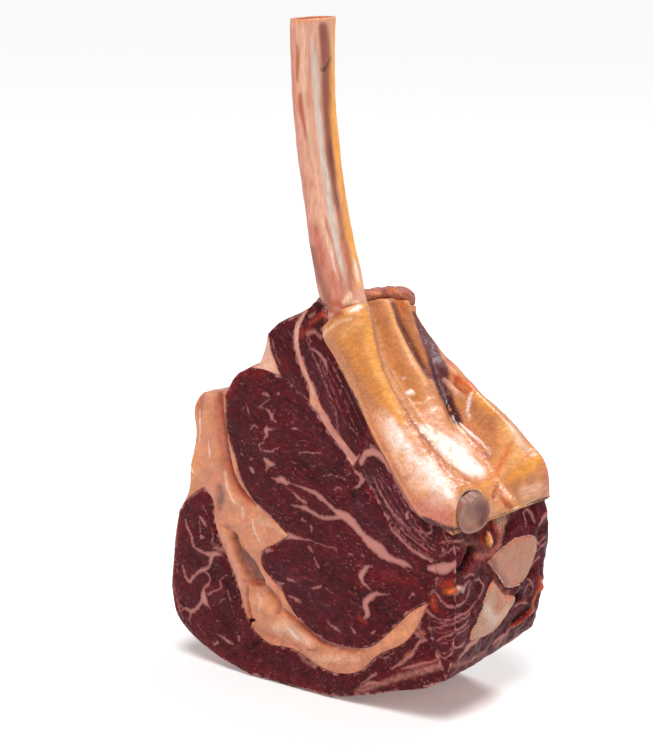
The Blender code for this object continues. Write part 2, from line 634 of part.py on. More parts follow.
def seat_bone(shape, targets, *args):
    """Make a bone's seat in the pieces around it, and the bone itself."""
    cutter = shape("cutter", *args, GAP)
    cutter.hide_render = True
    cutter.display_type = "WIRE"
    for target in targets:
        subtract(bpy.data.objects[target], cutter)
    bpy.data.objects.remove(cutter, do_unlink=True)


def main():
    clear_scene()
    edge = outer_edge()
    for name in list(LOOPS) + ["rib_side_fat"]:
        meat_piece(name, edge)
    seat_bone(bone_shape, ["rib_side_fat", "inner_strip", "deep_muscle", "chine_meat"])
    bone_shape("rib_bone", 0)
    for name, outline in (("vertebra_bone", VERTEBRA), ("feather_bone", FEATHER)):
        seat_bone(chine_bone, ["chine_meat"], outline)
        chine_bone(name, outline, 0)


main()
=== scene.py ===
"""Looks of the raw tomahawk steak: wet dark-red muscle with creamy veins, peach fat,
the glossy ochre skin of the rib side, and scraped bone.

Every piece of the steak is modelled again, finer, from the same seams as its solid.
Lengths are in millimetres until a mesh is finished, and x, y, z are the object's own
axes. The front cut face looks along -Y.
"""

import math

import bmesh
import bpy
import numpy as np
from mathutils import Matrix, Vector
from mathutils.kdtree import KDTree


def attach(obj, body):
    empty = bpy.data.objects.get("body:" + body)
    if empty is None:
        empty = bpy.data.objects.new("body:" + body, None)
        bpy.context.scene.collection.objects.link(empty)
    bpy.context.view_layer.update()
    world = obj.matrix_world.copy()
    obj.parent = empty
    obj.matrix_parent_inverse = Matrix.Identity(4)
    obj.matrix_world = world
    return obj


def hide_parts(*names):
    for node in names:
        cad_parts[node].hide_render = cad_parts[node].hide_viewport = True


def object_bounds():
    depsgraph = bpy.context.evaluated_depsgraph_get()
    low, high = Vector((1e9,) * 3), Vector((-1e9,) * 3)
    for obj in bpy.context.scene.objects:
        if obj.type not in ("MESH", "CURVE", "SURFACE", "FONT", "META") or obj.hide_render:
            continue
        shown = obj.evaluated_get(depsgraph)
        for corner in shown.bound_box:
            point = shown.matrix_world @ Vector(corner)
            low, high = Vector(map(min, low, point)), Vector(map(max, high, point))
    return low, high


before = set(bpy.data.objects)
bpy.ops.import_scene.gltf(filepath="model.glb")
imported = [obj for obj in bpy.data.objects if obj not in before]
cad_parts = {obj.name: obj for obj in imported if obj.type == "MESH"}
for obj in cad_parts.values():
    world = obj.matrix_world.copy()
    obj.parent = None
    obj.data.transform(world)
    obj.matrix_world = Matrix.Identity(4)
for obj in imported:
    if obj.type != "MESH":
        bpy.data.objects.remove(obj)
cad_box = [list(corner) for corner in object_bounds()]

METRES = 0.001
FINE_STEP = 0.25                  # between the points of a line that distances are taken from

# ---- sizes shared with the solids ----------------------------------------------------
FACE = 37.5                       # the cut faces lie this far in front and behind
GAP = 0.3                         # clearance between two pieces
STEAK_MIDDLE = (0, 85)            # (x, z)
RIM = 1.8                         # how far the rim of a cut face is rounded off
RIM_DEPTH = 4.2                   # how far that rounding reaches inwards
EDGE_NEAR = 0.8                   # closer to the edge than this, inwards is to the middle
SWELL = 1.0                       # the sides bulge this much beyond the outlines below,
SWELL_START = 4                   # from this far under the rib side on
SWELL_EASE = 8
REST = -2.6                       # level of the floor in the outlines below
RESTING_BAND = 0.6                # what lies lower than this over it is set down flat
WAVE = 0.8                        # hand-cut waviness of the whole
WAVE_FREE = 0.006                 # it starts at this height in metres
WAVE_EASE = 0.03                  # and is full this much higher
SEAM_DIP = 0.8                    # the cut faces dip at their seams
DIP_REACH = 3.5
FACE_DIP = 0.45                   # and lie this far inside those of the solids
DENT_REACH = 12                   # a dent in a cut face fades out this far behind it
SEAMS = {
    "lip_out": [(-83, 73), (-76, 84), (-74, 97), (-70, 112), (-71, 126), (-66, 134.5),
                (-58, 136.5), (-51, 137)],
    "eye_out": [(-51, 137), (-46, 146), (-41, 150), (-36, 153)],
    "wedge_out": [(-36, 153), (-31, 155), (-27, 163), (-25, 171)],
    "outer_out": [(-25, 171), (-19, 176), (-10, 180), (-4, 184)],
    "line_out": [(-4, 184), (0, 186)],
    "inner_out": [(0, 186), (5, 190), (10.3, 188), (10.8, 182.3), (9, 177)],
    "chine_out": [(86, 92), (87, 80), (86, 65), (86.5, 50), (86, 38), (84.5, 29), (82, 22)],
    "cap_bottom": [(82, 22), (69, 14.5), (55, 10), (39, 5), (24, 0.5), (12, -2)],
    "cap_rest": [(12, -2), (-38, -2)],
    "cap_left": [(-38, -2), (-46, 0), (-58, 3), (-74, 10), (-84, 18), (-88, 30), (-88, 42),
                 (-86, 60), (-83, 73)],
    "cap_shoulder": [(-83, 73), (-75, 81), (-66, 87)],
    "cap_inner": [(-66, 87), (-60, 82), (-59, 70), (-52, 56), (-45, 43), (-40, 31), (-34, 22),
                  (-24, 17), (-8, 17), (6, 12), (20, 11), (32, 15), (43, 25), (57, 34),
                  (65, 45), (70, 57)],
    "eye_left": [(-51, 137), (-50, 120), (-45, 108), (-41, 97), (-34, 88), (-24, 82), (-12, 74)],
    "eye_bottom": [(-12, 74), (-21, 68), (-28, 64), (-30, 57), (-24, 51), (-17, 46), (-9, 36),
                   (2, 29), (14, 25), (26, 25), (38, 28), (48, 37), (60, 50), (70, 57)],
    "eye_wedge": [(-36, 153), (-26, 152.5), (-17, 151)],
    "wedge_outer": [(-17, 151), (-20, 157), (-23, 163), (-25, 171)],
    "eye_outer": [(-17, 151), (-11, 148), (-5, 144), (1.5, 140)],
    "outer_line": [(-4, 184), (-8.5, 176), (-9, 167), (-5.5, 157), (0, 148), (1.5, 140)],
    "eye_line": [(1.5, 140), (8.5, 132.5), (15.5, 125), (22.5, 118.5), (28, 112.5)],
    "line_deep": [(28, 112.5), (31, 117)],
    "line_inner": [(31, 117), (26.5, 120.5), (19, 127), (12.5, 134), (7.5, 141), (2.5, 149.5),
                   (-2.5, 158), (-6, 167), (-5, 176), (0, 186)],
    "inner_deep": [(31, 117), (34, 121.5), (39, 124), (45, 122), (53, 113.5)],
    "inner_rib": [(9, 177), (10, 171), (17, 162.5), (26, 149.5), (34, 138.5), (42, 127.5),
                  (49, 119), (53, 113.5)],
    "deep_rib": [(53, 113.5), (58, 107.5), (63, 101.5), (68, 97), (72, 95), (77, 95)],
    "eye_deep": [(28, 112.5), (34, 109), (40, 103), (46, 95), (53, 87.5), (61, 82), (74, 77)],
    "deep_chine": [(77, 95), (81, 91), (80, 84), (74, 77)],
    "eye_chine": [(74, 77), (75.5, 69), (70, 57)],
    "cap_chine": [(70, 57), (71, 50), (72.5, 43), (76, 34.5), (79.5, 28), (82, 22)],
    "rib_chine": [(77, 95), (82, 93.5), (86, 92)],
}
LOOPS = {
    "rib_cap": ["cap_shoulder", "cap_inner", "cap_chine", "cap_bottom", "cap_rest", "cap_left"],
    "seam_fat": ["lip_out", "eye_left", "eye_bottom", "-cap_inner", "-cap_shoulder"],
    "rib_eye": ["eye_out", "eye_wedge", "eye_outer", "eye_line", "eye_deep", "eye_chine",
                "-eye_bottom", "-eye_left"],
    "top_fat": ["wedge_out", "-wedge_outer", "-eye_wedge"],
    "outer_strip": ["outer_out", "outer_line", "-eye_outer", "wedge_outer"],
    "strip_fat": ["line_out", "-line_inner", "-line_deep", "-eye_line", "-outer_line"],
    "inner_strip": ["inner_out", "inner_rib", "-inner_deep", "line_inner"],
    "deep_muscle": ["line_deep", "inner_deep", "deep_rib", "deep_chine", "-eye_deep"],
    "chine_meat": ["rib_chine", "chine_out", "-cap_chine", "-eye_chine", "-deep_chine"],
}
RIB_INNER = ["inner_rib", "deep_rib", "rib_chine"]

# how far the edge of the back face lies from that of the front face
BACK_SHIFT = [
    ((-25, 171), (0, 8)), ((-15, 178), (0, 4)), ((-4, 184), (0, 0)), ((10, 188), (-5, -18)),
    ((-55, 140), (3, -3)), ((-83, 73), (4, 0)), ((-87, 40), (5, 2)), ((-78, 14), (5, 1)),
    ((82, 22), (-5, 16)), ((86, 48), (1, -1)), ((87, 82), (6, 0)), ((69, 15), (1, 6)),
    ((55, 10), (1, 0)), ((39, 5), (0, -5)), ((21, 0), (0, 0)), ((-10, 0), (0, 0)),
    ((-42, 0), (0, 0)),
    ((30, 155), (0, 0)), ((60, 125), (0, 0)), ((84, 103), (-4, 0)), ((-20, 120), (0, 0)),
    ((20, 80), (0, 0)), ((-40, 60), (0, 0)), ((50, 60), (0, 0)), ((10, 35), (0, 0)),
]
SHIFT_REACH = 18
SHIFT_EASE = 0.25                 # far from every place, the shift fades out
CLIMB_PLACE = (10, 176)           # the top corner climbs behind the front face
CLIMB_REACH = 7.8
CLIMB = [(-37.5, 0), (-33, 2.5), (-26, 5), (-18, 7.2), (-8, 8.4), (2, 8.4), (20, 7.6), (33, 4),
         (37.5, 3)]

# the rib side: heights over a sloping plane from the top corner to the chine corner
RIB_TOP = np.array([10, 175])
RIB_ALONG = np.array([1, -1]) / math.sqrt(2)
RIB_OUT = np.array([1, 1]) / math.sqrt(2)
RIB_PLAIN = 2                     # height of the plain outline that the ridges start from
RIB_STEP = 2.0                    # between the points of the seams under it
RIB_CORNER = [(104, 2), (108.5, 0.5), (112.4, -4.9)]
CHINE_LINE = 108.3                # where the chine face cuts the rib side off
CORNER_ROUND = 6
CORNER_START = 95                 # from here on, the rib side stays behind the chine face
VALLEY = -4.5
FRONT_EDGE = [(-3, 3.5), (13, 1.4), (32, -2.8), (49, -7.8), (66, -10), (80, -12), (93, -12),
              (101, -8), (106, -1)]
BACK_EDGE = [(-3, -1), (17, -1), (28, -2), (40, -2), (54, 0), (68, 4), (81, 5.4), (95, 7.3),
             (106, 7.3)]
FRONT_RAMP = [(78, 4), (93, 1.5)]
BACK_RAMP = 18
LEAST_SKIN = 1.6
WET_START = 40                    # the skin is wet from here on along the rib side
WET_EASE = 20
RIDGES = {
    "over_bone": ([(-3, -21), (15, -23), (45, -24.5), (75, -25), (106, -24)],
                  [(-3, 19.5), (4, 17.5), (10, 14.5), (17, 12), (30, 9.3), (50, 7.8), (75, 8.2),
                   (88, 10), (96, 11.7), (104, 12.5)],
                  [(-3, 16), (15, 13), (45, 11.5), (80, 11.5), (96, 16)], 4),
    "second": ([(-3, 11), (10, 8), (24, 4.5), (37, 2.5), (48, 0), (60, -2), (106, 0)],
               [(-3, 14), (8, 10), (20, 8.5), (50, 6.5), (80, 4), (106, 4)],
               [(0, 7.5), (40, 9), (80, 10)], 3),
    "third": ([(-3, 27), (7, 25), (24, 22), (37, 19), (50, 17)],
              [(-3, 11), (8, 7), (24, 5.5), (40, 3), (55, 0)], [(0, 3.5), (50, 3.5)], 2),
    "hollow": ([(20, 25), (45, 19), (70, 14)],
               [(20, 0), (35, -3), (55, -3.5), (75, 0)], [(0, 6), (60, 6)], 2),
    "back_ridge": ([(30, 33), (50, 30), (80, 27), (106, 22)],
                   [(25, 0), (45, 5), (80, 8), (95, 8), (106, 6)], [(0, 6.5), (60, 6.5)], 2),
}

# the rib bone: centre line (x, z), middle in y, half width and half thickness
BONE_PATH = [(-10, 317), (-10, 298), (-8.8, 275), (-6, 252), (-2.2, 232), (1.6, 213), (5.4, 199),
             (8.6, 188), (11.9, 179.5), (16.8, 170), (23.5, 159.5), (32.5, 148), (45, 134.5),
             (57, 122.5), (69, 111.5), (79, 104), (88, 98), (97, 92)]
BONE_MIDDLE = [(317, -20), (200, -20), (185, -20.5), (150, -22.5), (112, -23), (98, -23.5)]
BONE_WIDTH = [(317, 14), (275, 13.3), (235, 13.1), (212, 13.9), (198, 15), (186, 14.6), (170, 12),
              (150, 10), (112, 9.5), (103, 10.5), (98, 12)]
BONE_THICK = [(317, 6.3), (250, 6), (195, 6), (180, 5.6), (165, 5.2), (112, 5), (98, 7)]
BONE_END = 87.5                   # x of its sawn end in the chine face
BONE_GROOVE = 1.2
GROOVE_PLACE = -0.25              # across the bone, as a share of its half width
GROOVE_WIDTH = 0.3
BONE_SQUARE = 0.85                # below 1, its section has squarer shoulders
BONE_BARE = 183                   # roughly scraped from this height on,
BONE_BURIED = 150                 # and dark inside the meat from here down

# the bones in the chine face: (y, z)
VERTEBRA = [(-12, 73), (-3, 77.5), (10, 80), (24, 78), (27, 69), (21, 59), (12, 55.5),
            (3, 57.5), (-4, 65)]
FEATHER = [(-7.5, 63.5), (-13, 58), (-20, 48), (-25, 39), (-7, 38), (6, 44.5), (11.5, 50.5),
           (1.5, 54.5)]
CHINE_DEPTH = 9
CHINE_PROUD = 0.6                 # how far they stand out of the meat
CHINE_TAPER = 0.15                # how much narrower they are at the bottom
CHINE_START = 80                  # x where the chine face's own colours begin

# ---- fineness of the meshes ----------------------------------------------------------
CELL = 0.6                        # on the cut faces
SIDE_CELL = 0.9                   # along Y on the rib side and the chine face
RIM_CUTS = [0.5, 1.2, 2.2, 3.5, 5]           # rings behind each cut face
WALL_CUT = 2.5                    # and between rings further in
BONE_CELL = 1.1                   # along the rib bone
BONE_SIDES = 96
BONE_RINGS = [0.04, 0.09, 0.16, 0.3, 0.6]    # down the bones in the chine face
BONE_FACE_CELL = 0.8
SEAT_STEP = 6                     # the seats cut for the bones are coarser
SEAT_SIDES = 24
SEAT_CELL = 2.5
SEAT_PROUD = 12                   # and reach this many gaps out of the chine face
SEAT_LONG = 10                    # and past the bone's upper end

# ---- how the paint lies --------------------------------------------------------------
FAT_LIMIT = 4.0                   # depth in or out of a vein counts up to here
FAR_OUTSIDE = -99.0
STROKE_REACH = 12                 # a stroke isn't looked for further away
BATCH = 8000                      # points looked at in one go
DRIFT = 5                         # veins wander this far on their way through the steak,
DRIFT_START = 2                   # from this depth on
DRIFT_EASE = 45
VEIN_THINNER = 0.2
VEIN_RISE = 0.12                  # veins stand up in the cut face
CHINE_VEIN_RISE = 0.35            # and in the chine face
WAVES = 9                         # added up for one ripple
BACK_RELIEF = 0.6                 # the back face repeats the front's relief, weaker

# ---- colours as seen in daylight, red, green and blue from 0 to 255 ------------------
SHADES = {
    "meat": (75, 9, 17), "meat_dark": (52, 5, 11), "meat_bright": (112, 18, 20),
    # the near-black shade after clot is painted shadow in slits, pits and dents
    "meat_purple": (72, 22, 34), "clot": (165, 50, 28), "deep_shadow": (22, 5, 8),
    "vein": (178, 122, 113), "blush": (196, 128, 115),
    "blush_meat": (128, 62, 64), "vein_thin": (158, 98, 94),
    "peach": (202, 126, 84), "apricot": (218, 142, 90), "rose": (190, 106, 86),
    "rust": (150, 52, 22), "copper": (172, 72, 36), "cream": (230, 188, 158),
    "hollow": (126, 62, 38), "grey_brown": (112, 62, 50), "honey": (232, 168, 106),
    "gold": (220, 146, 64), "ochre": (200, 130, 82), "olive": (176, 110, 48),
    # the dark brown shade after amber is painted shade in creases and hollows
    "tan": (180, 114, 76), "amber": (200, 126, 60), "crease_shade": (96, 40, 24),
    # the near-white shade after orange is painted highlight
    "purple": (86, 28, 34), "orange": (200, 92, 36), "pearl_highlight": (254, 236, 226),
    "shell": (228, 172, 146),
    "bone": (214, 156, 130), "bone_pink": (200, 134, 118), "bone_grey": (206, 186, 172),
    "bone_red": (170, 76, 56), "bone_brown": (136, 72, 54), "bone_gold": (230, 156, 70),
    "plate": (172, 118, 94), "disc": (132, 82, 68), "wedge": (172, 128, 102),
}


def between(first, last, count):
    """Strokes spread evenly from a first one to a last one."""
    first, last = np.array(first), np.array(last)
    return [first + (last - first) * share for share in np.linspace(0, 1, count)]


# ---- fat veins in the cut face: (x, z, half width) -----------------------------------
VEINS = [
    # upper eye
    [(-27, 141.3, 0.4), (-24.5, 141.2, 0.8), (-22.5, 140.4, 0.5)],
    [(-22.5, 140, 0.4), (-25.5, 137, 0.4), (-28.5, 134.6, 0.4), (-24.5, 134, 0.6),
     (-21.8, 132.5, 0.9), (-20.8, 130, 0.9), (-18, 129, 0.5)],
    [(-37, 135, 0.2), (-36, 132, 0.6), (-35.3, 130, 0.3)],
    [(-34, 122.5, 0.2), (-31.5, 124.8, 0.7), (-29.5, 124, 0.3)],
    [(-18, 125.2, 0.2), (-22, 124.7, 0.8), (-24.2, 123.8, 1.6), (-24, 121.3, 1.0),
     (-25.5, 119, 0.3)],
    [(-25.5, 118, 0.4), (-28, 116, 0.6), (-27.5, 114, 0.4), (-26, 113.3, 0.4), (-22, 113.7, 0.6),
     (-18.5, 115.5, 0.5), (-15.5, 117, 0.2)],
    [(-27, 110, 0.3), (-24.5, 109, 1.1), (-22, 107.7, 1.7), (-19, 108, 0.6)],
    [(-23.5, 106.5, 0.9), (-24, 103.5, 0.3)],
    [(-20.5, 101, 0.3), (-17, 101, 1.2), (-14.5, 101, 1.8), (-12, 100.2, 1.3), (-9.5, 99.6, 0.3)],
    [(-40, 109, 0.7), (-39, 108.6, 0.3)], [(-35, 107, 0.5), (-33, 108.2, 0.6)],
    [(-34.5, 103.5, 0.5), (-33, 102.5, 1.0), (-32, 101.5, 0.3)],
    [(-8.5, 127, 0.4), (-6.5, 127, 0.8), (-5, 127.3, 0.3)],
    [(-18.5, 142.5, 0.3), (-17, 143, 0.6)],
    [(-3.5, 115.8, 0.4), (3, 116.5, 0.55), (9, 117.2, 0.5)],
    [(-5, 144.8, 0.2), (-2, 143.5, 0.4), (0, 141.5, 0.5)],
    [(9, 105, 0.2), (12, 106.5, 0.4), (18, 107, 0.4), (24, 106, 0.3)],
    [(17.5, 100.3, 0.3), (19.5, 101.8, 0.5), (21.5, 101.2, 0.4), (20.5, 100, 0.2)],
    [(28, 102.5, 0.3), (31, 103.8, 0.7), (33.5, 106.5, 1.0), (33, 109, 1.0), (29, 111, 0.9)],
    # the long vein across the eye and its branches
    [(-9, 99.8, 0.2), (-4, 99.2, 0.7), (1, 98.3, 1.1), (6, 97.3, 1.3), (10, 95, 1.3),
     (14, 92.5, 1.2), (18, 90, 1.5), (22, 88.7, 2.3), (26, 87, 2.5), (30, 84, 2.2), (34, 81, 2.2),
     (38, 78.3, 2.8), (43, 76.2, 3.4), (47, 74, 2.4), (52, 73, 1.7), (57, 72.7, 1.6),
     (61, 72.2, 0.6)],
    [(-12, 98, 0.3), (-8, 96, 0.6), (-3, 92.8, 0.9), (0, 91.8, 0.8)],
    [(-10, 89.5, 0.3), (-5, 89.3, 0.8), (0, 88.8, 1.3), (4, 87.5, 1.1), (8, 86.2, 1.1),
     (12, 85.8, 1.1), (16, 86.5, 1.1), (20, 87.6, 1.4)],
    [(-3, 83.3, 0.8), (-1, 82.8, 0.6)], [(2.5, 80.5, 0.8), (3, 78, 0.5)],
    [(-12, 74, 2.0), (-8, 74, 1.3), (-3, 73.8, 0.7), (2, 73.6, 0.4), (8, 73, 0.4), (13, 72, 0.4),
     (18, 72, 0.3)],
    [(1, 70.5, 0.7), (3, 68.5, 0.5)], [(3.5, 65.5, 0.5), (6, 62, 0.6)],
    [(25, 70.5, 0.4), (27, 70.5, 0.6)], [(33, 71.5, 0.6), (34, 71, 0.4)],
    [(-24, 66, 0.4), (-26, 64, 1.2), (-22, 65, 0.4)],
    # the two hooks below it
    [(38.5, 67.5, 0.5), (36, 66.5, 1.0), (33.5, 64, 1.6), (32, 61.5, 1.8), (32.5, 59, 1.3),
     (35, 57, 0.7), (37, 56, 0.5)],
    [(49, 55.8, 0.2), (45, 55.2, 0.7), (41, 54.4, 1.3), (38, 52.5, 1.6), (35.5, 50, 1.9),
     (34.5, 47.5, 1.8), (36, 45, 1.9), (35.5, 42.5, 1.5), (33.5, 40.8, 0.6)],
    [(62.5, 60, 0.8), (60, 57, 0.4)], [(38.5, 34, 0.4), (40, 35.5, 0.8), (41, 36.5, 0.3)],
    [(26, 36, 0.4), (28, 33.5, 0.8), (29, 32.5, 0.4)], [(51, 80.5, 0.3), (55, 77.5, 0.4)],
    # lower left of the eye, by the seam
    [(-24, 50, 0.2), (-18, 49, 0.8), (-15, 50, 0.4)],
    [(-12, 44, 0.4), (-8, 43.5, 0.9), (-4, 42, 0.4)],
    [(-14, 52, 0.3), (-11, 52.5, 0.8), (-7, 52, 0.4)],
    [(12, 36, 0.3), (15, 33.5, 0.7), (18, 33, 0.9), (21, 31.5, 0.4)],
    [(2, 50.5, 0.3), (5, 51, 0.7), (8, 52.5, 0.6)],
    # rib cap
    [(-68, 72, 0.9), (-66, 69.5, 0.9), (-64.5, 67.5, 0.5)],
    [(-61.5, 68, 0.3), (-60.5, 64, 0.5), (-61, 60, 0.4)],
    [(-78, 69, 0.6), (-77.5, 66, 0.7), (-75.5, 63, 0.8), (-74, 60.5, 0.9), (-73.5, 57.5, 0.8),
     (-71, 55.5, 0.8), (-68, 54.6, 0.9), (-64, 54, 1.1), (-61, 54.3, 1.4), (-58, 55.5, 1.3),
     (-54, 55.8, 0.5)],
    [(-61, 53, 1.4), (-62, 50.5, 1.1), (-63.5, 47.5, 0.8), (-66.5, 45.5, 1.2), (-69, 44, 1.0),
     (-71.5, 42, 0.8), (-74, 39.5, 1.0), (-75.5, 37.5, 1.3), (-78, 39, 1.0), (-79.5, 42, 0.7),
     (-81, 44.5, 0.7)],
    [(-66, 44.5, 0.7), (-63.5, 43.5, 0.5), (-62.5, 41, 0.6), (-63.5, 38.5, 0.7), (-66, 35.5, 0.9),
     (-66.3, 32, 1.9), (-65, 29.5, 1.7), (-63, 27.5, 0.7), (-61, 26, 0.3)],
    [(-66.5, 30, 1.3), (-69, 26.5, 1.0), (-71.5, 24, 1.1), (-74.5, 22.5, 1.1), (-77.5, 23.3, 0.8),
     (-80.5, 22, 0.4), (-83, 20.5, 0.2)],
    [(-75, 21.5, 0.9), (-75.5, 18, 0.5), (-75, 15.5, 0.3)],
    [(-63.5, 33.5, 0.8), (-60, 35.5, 0.5), (-57, 37.5, 0.5), (-54.5, 39, 0.5), (-55.5, 42, 0.4),
     (-54, 44.5, 0.3), (-51, 46, 0.3)],
    [(-56, 30.5, 0.3), (-54, 32.5, 0.5), (-51.5, 34, 0.3)],
    [(-57, 14.5, 0.4), (-53, 13.8, 0.7), (-50, 12.5, 0.9), (-47, 12, 0.5)],
    [(-60, 9, 0.7), (-57, 10.5, 0.7)], [(-43.5, 16.5, 0.6), (-43, 14.5, 0.5)],
    [(-85, 28, 0.3), (-84, 25, 0.4), (-80, 23.5, 0.4)], [(-68, 62, 1.0), (-67, 62, 0.8)],
    [(-80, 78, 0.3), (-84.5, 70, 0.5), (-86, 62, 0.3), (-86.6, 50, 0.4), (-87, 40, 0.2),
     (-86, 30, 0.4)],
    [(-83.5, 33, 0.2), (-84, 27, 0.3), (-81, 19, 0.4), (-75, 12, 0.2)],
    [(-70.5, 17, 0.3), (-64, 12, 0.3)], [(-51.5, 39, 0.3), (-48.5, 33, 0.3), (-46, 27, 0.2)],
    [(-58, 44, 0.3), (-56, 41, 0.3)], [(-69, 70, 0.3), (-68.6, 64, 0.3)],
    [(-66, 78, 0.3), (-64, 74, 0.4)], [(-57, 21.5, 0.6), (-56, 21.5, 0.3)],
    # foot of the cap under the eye
    [(50, 20, 0.3), (55, 23, 0.6), (59, 27, 0.7), (63, 31, 0.9), (65, 35, 0.7), (67, 38, 0.9),
     (70, 39, 0.7)],
    [(33, 9, 0.4), (38, 13, 0.7), (42, 16, 0.6)], [(32, 7, 0.4), (37, 10, 1.0), (43, 11.6, 0.9)],
    [(44, 24, 0.3), (48, 25, 0.4), (52, 29, 0.3)],
    [(61, 42, 0.6), (64, 40.5, 0.7), (69, 39.5, 0.7)],
    [(57, 22, 0.4), (63, 24.5, 0.8), (70, 28, 0.8), (78, 31.5, 0.5)],
    # deep muscle: its pale arch and long streaks
    [(33, 115.5, 1.6), (35, 119.5, 1.9), (39, 121.6, 2.0), (44, 120.8, 1.7), (49, 117, 1.5),
     (53, 112, 1.4), (56.5, 107.5, 1.5), (60, 103.5, 1.6), (63.5, 100, 1.4), (67, 97.2, 0.9)],
    *between([(35, 111, 0.1), (38, 105, 0.3), (42, 100, 0.2), (48, 93.5, 0.3), (56, 86, 0.3),
              (66, 81, 0.2), (75, 79.5, 0)],
             [(50, 112, 0), (54.5, 106, 0.3), (58, 101, 0.2), (62, 96.5, 0.3), (66, 92.5, 0.3),
              (71, 88.5, 0.3), (77, 86, 0)], 5),
    [(41, 110, 0.5), (43, 105, 0.7), (46, 101, 0.8), (49.5, 97.5, 0.7), (53, 94.5, 0.6),
     (57, 92, 0.6), (61, 90.3, 0.5)],
    [(37, 110, 0.3), (38.5, 105, 0.3), (41, 102, 0.2)],
    [(49, 89.3, 0.4), (52, 86.5, 0.8), (56, 83.5, 0.9), (60, 81, 0.9), (64, 79.5, 1.0),
     (69, 78.3, 1.1), (73, 77.7, 0.9)],
    [(50, 96, 0.3), (54, 93, 0.3), (58, 90.5, 0.4), (62, 88, 0.4), (66, 86, 0.4), (70, 84.5, 0.4),
     (75, 83, 0.3)],
    [(52, 91, 0.3), (57, 88, 0.4), (62, 85.5, 0.4), (67, 83, 0.4), (71, 81.8, 0.4)],
    [(62, 91.5, 0.4), (64.5, 91, 0.4), (67, 90, 0.6), (70.5, 90, 0.6), (73, 91.5, 0.4),
     (72.5, 95, 0.5)],
    [(64, 96.5, 0.3), (64.5, 93.5, 0.4), (66, 92, 0.3)], [(59.3, 97, 0.9), (59.6, 95, 1.1)],
    [(58.3, 100.8, 0.6), (58.8, 100, 0.5)], [(52, 109, 0.4), (53, 106, 0.3)],
    [(67, 83, 0.4), (68.5, 86, 0.4), (67.5, 88.5, 0.3)],
    # the fat wedge where eye, deep muscle and chine meet
    [(71.5, 73.5, 1.2), (75, 74.4, 2.2), (79, 75, 2.8), (83, 76.6, 2.2), (86.5, 79, 1.4)],
    # inner strip
    [(0, 172.5, 0.5), (2, 170, 0.4), (1, 168, 0.3), (4, 165.5, 0.7), (8, 163.5, 1.1),
     (11, 160, 0.9), (12, 156, 0.4)],
    [(-1, 170, 0.3), (4, 162.5, 0.3), (9, 155, 0.3), (12.5, 147, 0.3), (16, 142, 0.3),
     (18, 136, 0.35), (18.5, 131, 0.4), (19.5, 127, 0.5), (22, 123.5, 0.6)],
    [(26, 133, 0.3), (28, 130, 0.4), (31, 128, 0.3)],
    *between([(1, 166, 0.1), (6, 158, 0.3), (10, 150, 0.2), (15, 140, 0.3), (20, 131, 0.1)],
             [(11, 165, 0), (17, 156, 0.3), (24, 146, 0.3), (31, 136, 0.2), (38, 127, 0)], 4),
    # outer strip
    [(-22, 168, 0.4), (-20, 162, 0.5), (-17, 157, 0.3)],
    # folds of the chine meat as they run out to the front
    [(74, 63.5, 0.6), (76.5, 61.5, 0.7), (78, 59.5, 0.6), (81, 58.5, 0.6), (86, 57.8, 0.6)],
    *between([(71, 50, 0), (76, 49, 0.3), (81, 50, 0.3), (87, 51.5, 0.2)],
             [(74, 38, 0), (78, 35, 0.3), (82, 36, 0.3), (87, 41, 0.2)], 4),
    [(69.5, 54, 0.7), (72, 52, 0.7), (75, 51, 0.5), (80, 51.3, 0.4), (86, 52.5, 0.5)],
    [(72, 46, 0.4), (76, 46.5, 0.4), (81, 48.5, 0.5), (86, 50.5, 0.5)],
    [(76.5, 40.5, 0.5), (80, 43, 0.5), (86, 46, 0.6)],
    [(86, 38.5, 0.6), (83, 34, 0.6), (79.5, 32.7, 0.5), (77, 34.5, 0.3)],
    [(78, 87, 0.4), (82, 88.5, 0.5), (86, 88.5, 0.4)],
    [(80, 81.5, 0.3), (84, 85, 0.4), (86, 86, 0.3)],
]

# ---- what the slices of the steak are painted with under their marks ------------------
BASES = {
    "rib_eye": "meat", "rib_cap": "meat", "outer_strip": "meat", "inner_strip": "meat",
    "deep_muscle": "meat", "chine_meat": "meat", "seam_fat": "peach", "top_fat": "shell",
    "strip_fat": "blush",
}

